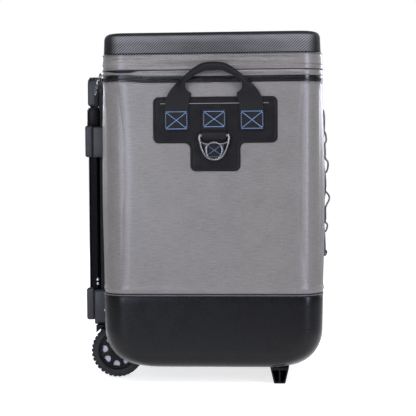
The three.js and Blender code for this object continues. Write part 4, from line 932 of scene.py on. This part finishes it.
# one half of the strap from its sewn foot to the top: place of its outer edge from the strap's middle and in
# height, width to the fold, how far it is rolled into the round grip (0 to 1) and how far it stands out
STRAP_STATIONS = [
    (79.2, -33.2, 60, 0, 0), (79.2, -15, 60, 0, 0), (79, -3, 60, 0, 0), (78.6, 6, 60, 0, 0.3), (77.2, 15, 60, 0, 1),
    (74.4, 22.8, 36.4, 0, 2), (69.4, 31, 32.6, 0.05, 3.4), (63, 38.4, 28, 0.26, 5), (55.6, 45.2, 22, 0.66, 6.6),
    (47, 52.2, 16, 0.97, 8), (38.8, 59.2, 15, 1, 9.2), (30.2, 65.4, 15, 1, 10), (17, 72.4, 15, 1, 10.6),
    (0, 74.2, 15, 1, 10.8),
]


def strap_lines(side):
    """The strap's cross lines along its whole length: the tape folds behind itself and rolls into the grip."""
    table = [(-x, *rest) for x, *rest in STRAP_STATIONS] + STRAP_STATIONS[-2::-1]
    path = smooth_line([Vector((x, z, 0)) for x, z, *rest in table], 5)
    facts = smooth_line([Vector(rest) for x, z, *rest in table], 5)
    width, curl, deep, steps, last = 38.0, 1.7, 12.6, 26, len(path) - 1
    lines = []
    for k, (at, fact) in enumerate(zip(path, facts)):
        along = (path[min(k + 1, last)] - path[max(k - 1, 0)]).normalized()
        flat = Vector((1 if at.x < 0 else -1, -0.07 * eased((at.y - 8) / 26)))
        inward = flat.lerp(Vector((along.y, -along.x)), eased((min(k, last - k) - 24) / 22)).normalized()
        fold, rolled, lean = min(max(fact.x, 8), 60), min(max(fact.y, 0), 1), fact.z
        tall = 7 + 3.8 * eased((52 - abs(at.x)) / 32)
        lines.append([])
        for i in range(steps + 1):
            past = width * i / steps - fold
            turn = math.radians(-35 + 330 * i / steps)
            if past <= 0:
                folded = Vector((fold + past, 0))
            elif past <= math.pi * curl:
                folded = Vector((fold + curl * math.sin(past / curl), curl * (math.cos(past / curl) - 1)))
            else:
                folded = Vector((fold + math.pi * curl - past, -2 * curl))
            inner, out = folded.lerp(Vector((tall / 2 * (1 - math.cos(turn)), deep / 2 * math.sin(turn))), rolled)
            spot = at.xy + inward * inner
            lines[-1].append(Vector((STRAP_MIDDLE + spot.x, side * (STRAP_OUT + lean + out), STRAP_FOOT + spot.y)))
    return lines


def carrying_strap(side, name):
    """One length of webbing, sewn flat at both feet and folded into the grip."""
    made = thick(f"strap_{name}_webbing", strap_lines(side), 1.8, black_webbing, None,
                 replaced=f"strap_arch_{name} strap_end_rear_{name} strap_end_front_{name}")
    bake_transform(made)


def ring_tab(side, name):
    """The webbing tab: folded round the ring's bar and sewn above and below it."""
    low, high = corners(f"ring_tab_{name}")
    face = PATCH_FACE + 0.35
    reach = abs(middle_of(f"ring_{name}").y) + RING_BAR + 0.8
    profile = [(face + 1.2, high.z + 2 - RING_TOP), (face + 1.3, 18), (face + 1.3, 11), (face + 2.3, 8.6),
               (reach - 1.3, 4.6), (reach + 0.4, 0.8), (reach - 0.4, -3), (face + 3.2, -8), (face + 1.4, -12),
               (face + 1.3, -18), (face + 1.2, low.z - 1.5 - RING_TOP)]
    half = (high.x - low.x) / 2 + 2
    lines = [[Vector((STRAP_MIDDLE - half + half * i / 4, side * p.y, p.z)) for i in range(9)]
             for p in smooth_line([Vector((0, y, RING_TOP + z)) for y, z in profile], 4)]
    thick(f"tab_{name}", lines, 1.5, black_webbing, "cooler_body", replaced=f"ring_tab_{name}")


def box_stitch(aside, foot, width, height, y, side):
    """A sewn box with a cross in it: rows above and below and the cross, then the sparser sides."""
    middle, top = STRAP_MIDDLE + aside, foot + height
    left, right = middle - width / 2, middle + width / 2

    def line(x0, z0, x1, z1):
        return [Vector((x0, y, z0)), Vector((x1, y, z1))], Y * side

    rows = [line(left, z, right, z) for z in (foot, top)]
    cross = [line(left + 1, foot + 1, right - 1, top - 1), line(left + 1, top - 1, right - 1, foot + 1)]
    return rows + cross, [line(x, foot + 1.5, x, top - 1.5) for x in (left, right)]


def cast_ring(name):
    """The cast ring: two curved arms from the bar in the tab to the foot of a tall eye, and a strut to each arm."""
    y = middle_of(f"ring_{name}").y
    bm = bmesh.new()

    def bar(places, sizes, hand=1):
        line = smooth_line([Vector((STRAP_MIDDLE + hand * x, y, RING_TOP + z)) for x, z in places], 5)
        radii = [s.x for s in smooth_line([X * s for s in sizes], 5)]
        bm.from_mesh(tube(f"ring_{name}_bar", line, radii, 10))

    arm = [(-22.3, 2.2), (-23.6, -1.2), (-23.4, -6), (-22.6, -11), (-21.2, -17), (-18.8, -24), (-15.3, -30.4),
           (-10.8, -35.1), (-5.6, -37.8), (0, -38.5)]
    eye = [(0, -11), (-4.4, -11.6), (-8.6, -13.8), (-11.6, -17.6), (-12.7, -22.6), (-12.1, -28), (-9.9, -33),
           (-5.8, -36.8), (0, -38.5)]
    strut = [(-22.4, -9.6), (-18.6, -11.6), (-14.4, -13.4), (-10.4, -13.6), (-7, -12.9)]
    for hand in (-1, 1):
        bar(arm, [1.5, 2.0, 2.1, 1.9, 1.7, 1.5, 1.5, 1.4, 1.3, 1.3], hand)
        bar(eye, [1.1, 1.15, 1.4, 1.7, 1.8, 1.6, 1.4, 1.3, 1.2], hand)
        bar(strut, [1.3, 1.1, 1.1, 1.2, 1.2], hand)
    bar([(-22.6, 0), (0, 0), (22.6, 0)], [RING_BAR] * 3)
    piece(f"ring_{name}_casting", mesh_of(f"ring_{name}_casting", bm), cast_zinc, f"ring_{name}", 50, f"ring_{name}")


for side, name in SIDES:
    strap_patch(side, name)
    carrying_strap(side, name)
    ring_tab(side, name)
    tab_face = side * (PATCH_FACE + 2.4)
    boxes = [box_stitch(x, STRAP_FOOT - 30.6, 34, 27.2, side * (STRAP_OUT + 1), side) for x in (-60.5, 60.5)]
    boxes.append(box_stitch(0, RING_TOP + 14, 33, 24.2, tab_face, side))
    below = box_stitch(0, RING_TOP - 34, 29, 21, tab_face - side * 0.15, side)
    stitches(f"box_bars_{name}", [run for box in boxes for run in box[0]], blue_thread, "cooler_body", BAR_STITCH)
    stitches(f"box_lines_{name}", [run for box in boxes for run in box[1]], blue_thread, "cooler_body", SIDE_STITCH)
    stitches(f"box_below_ring_{name}", below[0] + below[1], blue_thread, "cooler_body", FAINT_STITCH)
    cast_ring(name)

# ---------- front lacing

def lace_leg(start, lift):
    """One half of the bungee's route: from the lowest loop on the start side up to the top."""
    places = []
    for i in range(4, -1, -1):
        z = LOOP_LEVELS[i]
        across = (start if i % 2 == 0 else -start) * LACE_SIDE
        places += [Vector((front_at(z + step) + CORD_REST, across, z + step)) for step in (-9, 0, 9)]
        if i:
            middle = z + 26.8
            reach = 2.1 + lift + (SLACK[i - 1] if lift else 0)
            bowed = lift and i != 3  # the third crossing of the upper run stands out in a point
            for step, share in ((-9, 0.8), (0, 1), (9, 0.8)) if bowed else ((0, 1),):
                out = CORD_REST + (reach - CORD_REST) * share
                places.append(Vector((front_at(middle + step) + out, -across * step / 17.8, middle + step)))
    return places


def bungee():
    """The bungee: out of the cord lock, up through the loops of alternate sides, across and down again."""
    near, far = lace_leg(-1, 0), lace_leg(1, 4.2)
    top = LOOP_LEVELS[0] + 16.5
    across = [Vector((front_at(top) + CORD_REST, y * LACE_SIDE / 2, top)) for y in (-1, 1)]
    out, back = ([Vector((LOCK.x, y * reach, LOCK.z + rise)) for reach, rise in ((8.8, 0), (17, 0), (84, 2))]
                 for y in (-1, 1))
    line = smooth_line(out + near + across + far[::-1] + back[::-1], 9, 0.5)
    made = piece("bungee", tube("bungee", line, 1.6, 10), bungee_sleeve, "cooler_body", 60, "bungee_cord")
    tuple(line[0] * MM)
    running(line)[-1] * MM
    [tuple(p * MM) for p in line]


def lace_strip(side, name):
    """A strip of webbing sewn flat on the front, with a loop standing over each pass of the bungee."""
    low, high = corners(f"lace_strip_{name}")
    half, middle = (high.y - low.y) / 2, (low.y + high.y) / 2
    heights = [low.z + (high.z - low.z) * k / 60 for k in range(61)]
    across = [middle - side * (half - 2 * half * i / 6) for i in range(7)]
    lines = [[Vector((front_at(z) + 0.45, y, z)) for y in across] for z in heights]
    thick(f"lace_strip_{name}_webbing", lines, 0.7, black_webbing, "cooler_body", replaced=f"lace_strip_{name}")
    rise = [(1.1, half - 1), (1.15, half - 4), (1.7, 6.4), (3.0, 3.4), (3.7, 0)]
    tacks = []
    for k, z in enumerate(LOOP_LEVELS):
        face = front_at(z)
        arch = smooth_line([Vector((face + out, y, 0)) for out, y in [(o, -y) for o, y in rise] + rise[-2::-1]], 3)
        rows = [[p + Vector((0, middle, z + d)) for p in arch] for d in (-7, -4, 0, 4, 7)]
        thick(f"lace_loop_{name}_{k}", rows, 0.7, black_webbing, "cooler_body", slot="webbing")
        for y in (middle - half + 2.2, middle + half - 2.2):
            tacks.append(([Vector((face + 1.5, y, z + d)) for d in (-6, 6)], X))
    stitches(f"lace_tacks_{name}", tacks, dark_thread, "cooler_body", (1.6, 1.5, 0.5))
    edges = [([Vector((front_at(z) + 0.8, middle + y, z)) for z in heights], X) for y in (1.2 - half, half - 1.2)]
    stitches(f"lace_rows_{name}", edges, dark_thread, "cooler_body", (3.4, 2.6, 0.38))


bungee()
for side, name in SIDES:
    lace_strip(side, name)
softened("cord_lock", 0.5, body_plastic)
plunger = lathe(Vector((LOCK.x, 0, LOCK.z)), X * 0.8, Y, -Z, ((2.6, 3.8), (2.6, 6.2), (2.2, 6.9), (1.2, 7.2)), 16)
form("lock_plunger", plunger, frame_plastic, "cooler_body", 45)

# ---------- trolley handle and brackets

def tube_rest(name):
    """The moulded channel that holds the outer tube off the cloth."""
    rear, front = corners(f"outer_tube_{name}")[1].x + 0.2, REAR_FACE + 0.6
    middle = middle_of(f"outer_tube_{name}").y
    section = [(front, -10.5), (front, 10.5), (rear + 1, 10.5), (rear, 9.5), (rear, -9.5), (rear + 1, -10.5)]
    heights = (147, 150, 200, 250, 300, 350, 400, 440, 476, 478)
    rows = [[Vector((x, middle + y, z)) for x, y in section] for z in heights]
    form(f"tube_rest_{name}", rows, frame_plastic, "cooler_body", 35)


def screw_head(name, at, outward, radius):
    """A pan-head screw or rivet head."""
    side = outward.orthogonal().normalized()
    profile = [(radius * r, d) for r, d in ((1.0, -0.6), (1.0, 0.35), (0.86, 0.75), (0.6, 0.98), (0.3, 1.05))]
    form(name, lathe(at, side, outward.cross(side), outward, profile, 24), screw_zinc, "cooler_body", 35)


dress(black_tube, *both_sides("outer_tube", "middle_tube", "inner_tube"))
softened("grip", 1.2, body_plastic, 3)
softened("release_button", 0.6, frame_plastic)
for node in both_sides("outer_collar", "middle_collar"):
    softened(node, 0.5, frame_plastic)
softened("handle_spine", 0.8, frame_plastic)
for node, lift in (("upper_bracket_cap", 3), ("lower_bracket_cap", 5)):
    moved(softened(node, 0.6, body_plastic, 3), shifted(0.6 * MM, 0, lift * MM))
for node in ("upper_bracket_base", "lower_bracket_base"):
    low, high = corners(node)
    taller = Matrix.Diagonal((1, 1, 1 + 4 / (high.z - low.z), 1))
    moved(softened(node, 0.5, body_plastic), shifted(0, 0, low.z * MM) @ taller @ shifted(0, 0, -low.z * MM))
for name in ("near", "far"):
    tube_rest(name)
rear_x = corners("upper_bracket_cap")[0].x
for place in ("upper", "lower"):
    for k, y in enumerate((-78, -26, 26, 78)):
        at = Vector((rear_x + 0.5, y, middle_of(f"{place}_bracket_cap").z + 4))
        screw_head(f"{place}_screw_{k}", at, -X, 3.4)
for side, name in SIDES:
    for k, z in enumerate((156, 163)):
        at = Vector((rear_x + 18, side * corners("outer_tube_far")[1].y, z))
        screw_head(f"tube_rivet_{name}_{k}", at, Y * side, 2.6)
    at = Vector((rear_x + 32.8, side * corners("lower_bracket_base")[1].y, 113))
    screw_head(f"bracket_screw_{name}", at, Y * side, 2.8)

# ---------- wheels and undercarriage

def tyre(name):
    """A solid tyre: a shouldered carcass under three staggered rows of small blocks."""
    low, high = corners(f"tyre_{name}")
    centre = (low + high) / 2
    half, rim, ground, count = (high.y - low.y) / 2, 31.2, (high.z - low.z) / 2 - 2.1, 34
    section = [(rim, -half + 2), (rim + 0.6, -half + 0.8), (rim + 2.4, -half), (ground - 5, -half),
               (ground - 2, -half + 0.6), (ground - 0.6, -half + 2.4), (ground, -half + 5)]
    section += [(r, -y) for r, y in section[::-1]]
    bm = bmesh.new()
    bm.from_mesh(skin("carcass", lathe(centre, X, Z, Y, section, 96), round_columns=True))
    for row, (y, wide, tilt) in enumerate(((-half + 4.4, 8.4, 0.22), (0, 12, 0), (half - 4.4, 8.4, -0.22))):
        for k in range(count):
            for vert in bmesh.ops.create_cube(bm, size=1)["verts"]:
                top = 1 if vert.co.z > 0 else 0
                around = vert.co.x * (5.2 - 1.2 * top) + vert.co.y * wide * tilt
                out = ground - 1 + top * 3.1 - (abs(vert.co.y) if tilt else 0)
                angle = 2 * math.pi * (k + 0.5 * (row % 2)) / count + around / ground
                place = Vector((math.cos(angle) * out, y + vert.co.y * (wide - 1.2 * top), math.sin(angle) * out))
                vert.co = (centre + place) * MM
    bmesh.ops.recalc_face_normals(bm, faces=bm.faces)
    piece(f"tyre_{name}_moulded", mesh_of("tyre", bm), tyre_rubber, f"wheel_{name}", 30, f"tyre_{name}")


for name in ("near", "far"):
    tyre(name)
    hub = middle_of(f"wheel_cover_{name}") * MM
    around_axle = Matrix.Translation(hub) @ Matrix.Rotation(math.radians(6), 4, "Y") @ Matrix.Translation(-hub)
    moved(softened(f"wheel_cover_{name}", 0.5, frame_plastic), around_axle)
for node in both_sides("axle_cap"):
    softened(node, 0.6, frame_plastic)
dress(disc_plastic, *both_sides("wheel_core"))
# the covers' flanges, which hide the pale rims between cover and tyre
flange = ((28.0, 0.1), (28.0, 0.6), (28.5, 0.9), (30.4, 0.9), (30.9, 0.6), (30.9, 0.1))
for side, name in SIDES:
    rings = lathe(middle_of(f"tyre_{name}") + Y * (side * 15), X, Z, Y * side, flange, 64)
    form(f"wheel_lip_{name}", rings, frame_plastic, f"wheel_{name}", 35, True)
dress(axle_steel, "axle")
softened("wheel_carriage", 0.7, frame_plastic)
softened("stand_bar", 0.7, frame_plastic)

# ---------- inside the box and zip slider

def zip_pull():
    """The pull: a flecked cord through the slider's eye, its bight standing on the slider and its two strands
    hanging to a moulded tab."""
    low, high = corners("zip_pull")
    pivot = Vector(((low.x + high.x) / 2, (low.y + high.y) / 2, high.z - 1.3))
    strands = [(-0.2, -1.0, 1.5), (-1.6, -1.6, -5), (-3.4, -2.2, -14), (-3.8, -2.1, -23), (-3.7, 0, -26),
               (-3.4, 2.1, -23), (-2.8, 2.4, -14), (-0.8, 1.8, -5), (0.5, 1.2, 1.5)]
    bight = [(-0.8, -1.0, -2), (0.4, -1.0, 3), (2.4, -0.8, 8), (4.4, 0, 12.8), (5.4, 0.6, 8), (2.8, 1.0, 3),
             (0.6, 1.2, -2)]
    for part, run, body in (("strands", strands, "zip_pull"), ("bight", bight, "zip_slider")):
        line = smooth_line([pivot + Vector(place) for place in run], 6, 0.5)
        cord = piece(f"zip_pull_{part}", tube(f"zip_pull_{part}", line, 1.1), fleck_cord, body, 60, slot="cord_black")
        tuple(line[0] * MM)
        running(line)[-1] * MM
        [tuple(p * MM) for p in line]
    section = [(2.6, 4.2), (1.9, 4.9), (-1.9, 4.9), (-2.6, 4.2), (-2.6, -4.2), (-1.9, -4.9), (1.9, -4.9), (2.6, -4.2)]
    levels = ((low.z + 1, 0.5), (low.z + 1.6, 0.85), (low.z + 4, 1), (pivot.z - 28, 1), (pivot.z - 22.5, 0.8),
              (pivot.z - 21.5, 0.55))
    rows = [[Vector((pivot.x - 3 + dx * size, pivot.y + dy * size, z)) for dx, dy in section] for z, size in levels]
    form("zip_pull_tab", rows, frame_plastic, "zip_pull", replaced="zip_pull")


dress(liner_sheet, "inner_liner", "lid_liner")
dress(foam_cells, "lid_foam")
moved(softened("zip_slider", 0.4, zip_coating), shifted(0, 0, CORNER_DRAW * MM))
zip_pull()

# ---------- camera, light and floor

def camera():
    """Level with the shell's upper part, a little to the front of square on, through a long lens."""
    turn, dip, roll = math.radians(4.2), math.radians(2.2), math.radians(0.4)
    view = Vector((-math.sin(turn) * math.cos(dip), math.cos(turn) * math.cos(dip), -math.sin(dip)))
    lens = bpy.data.cameras.new("camera")
    lens.lens, lens.sensor_width, lens.clip_end = 108.2, 36, 30
    holder = put("camera", lens)
    holder.location = (0.1532, -2.2096, 0.364)
    holder.rotation_euler = (view.to_track_quat("-Z", "Y") @ Quaternion(Z, -roll)).to_euler()
    bpy.context.scene.camera = holder


def softbox(name, azimuth, height, distance, width, tall, power, colour):
    """A rectangular lamp standing at an angle from square on to the near side, aimed at the cooler's middle."""
    turn = math.radians(azimuth)
    lamp = bpy.data.lights.new(name, "AREA")
    lamp.shape, lamp.size, lamp.size_y = "RECTANGLE", width, tall
    lamp.energy, lamp.color = power, linear(colour)[:3]
    holder = put(name, lamp)
    holder.location = Vector((math.sin(turn) * distance, -math.cos(turn) * distance, height))
    holder.rotation_euler = (Z * 0.32 - holder.location).to_track_quat("-Z", "Y").to_euler()


def straight(tree):
    """1 for what the camera sees itself or through something clear."""
    return read(tree, "LightPath", "Is Camera Ray").larger(read(tree, "LightPath", "Is Transmission Ray"))


def shader(tree, kind, *inputs):
    return add(tree, kind, None, dict(enumerate(inputs))).outputs[0]


def surround():
    """White to the camera; in gloss a white backdrop behind the cooler and a dim room in front of it."""
    world = bpy.data.worlds.new("studio")
    bpy.context.scene.world = world
    world.use_nodes = True
    tree = world.node_tree
    x, y, z = read(tree, "TexCoord", "Generated").parts()
    behind = y.spread(0.1, 0.55, 0.12, 1.0) * z.spread(0.25, 0.7, 1.0, 0.12)
    soft, seen, white = (shader(tree, "Background", (1, 1, 1, 1), strength) for strength in (0.34, behind, 1.0))
    room = shader(tree, "MixShader", read(tree, "LightPath", "Is Glossy Ray"), soft, seen)
    tree.links.new(shader(tree, "MixShader", straight(tree), room, white), tree.nodes["World Output"].inputs["Surface"])


def studio_floor(reach=12):
    """A pale floor that glows to the camera just enough to meet the white, and keeps the cooler's shadow.
    In gloss it darkens with distance."""
    mesh = bpy.data.meshes.new("floor")
    mesh.from_pydata([(-reach, -reach, 0), (reach, -reach, 0), (reach, reach, 0), (-reach, reach, 0)], [],
                     [(0, 1, 2, 3)])
    floor = put("floor", mesh)
    floor.location.z = -0.0004
    look = Look("studio_floor", Roughness=0.9, Specular_IOR_Level=0.1, Base_Color=linear("#e4e4e4"))
    tree = look.tree
    gloss = read(tree, "LightPath", "Is Glossy Ray")
    glow = shader(tree, "Emission", (1, 1, 1, 1), straight(tree).larger(gloss) * 0.74)
    lit = shader(tree, "AddShader", look.shader.outputs[0], glow)
    place = read(tree, "NewGeometry", "Position")
    away = place.node("VectorMath", {"operation": "LENGTH"}, {0: place}, "Value").spread(0.42, 0.95, 0.0, 0.78)
    whole = shader(tree, "MixShader", gloss * away, lit, shader(tree, "Emission", (1, 1, 1, 1), 0.0))
    tree.links.new(whole, tree.nodes["Material Output"].inputs["Surface"])
    mesh.materials.append(look.material)


camera()
surround()
studio_floor()
for lamp in (
    ("left_panel", -22, 0.75, 2.8, 0.95, 1.6, 32, "#e2e8ff"),
    ("right_strip", 45, 0.7, 2.6, 0.28, 2.0, 35, "#e2e8ff"),
    ("high_bar", 4, 2.35, 2.1, 1.8, 0.35, 23, "#ffffff"),
    ("rear_left", -150, 1.2, 2.6, 1.0, 1.6, 31, "#ececff"),
    ("rear_right", 140, 1.2, 2.6, 1.0, 1.6, 34, "#ececff"),
):
    softbox(*lamp)
bpy.context.scene.view_settings.view_transform = "Standard"
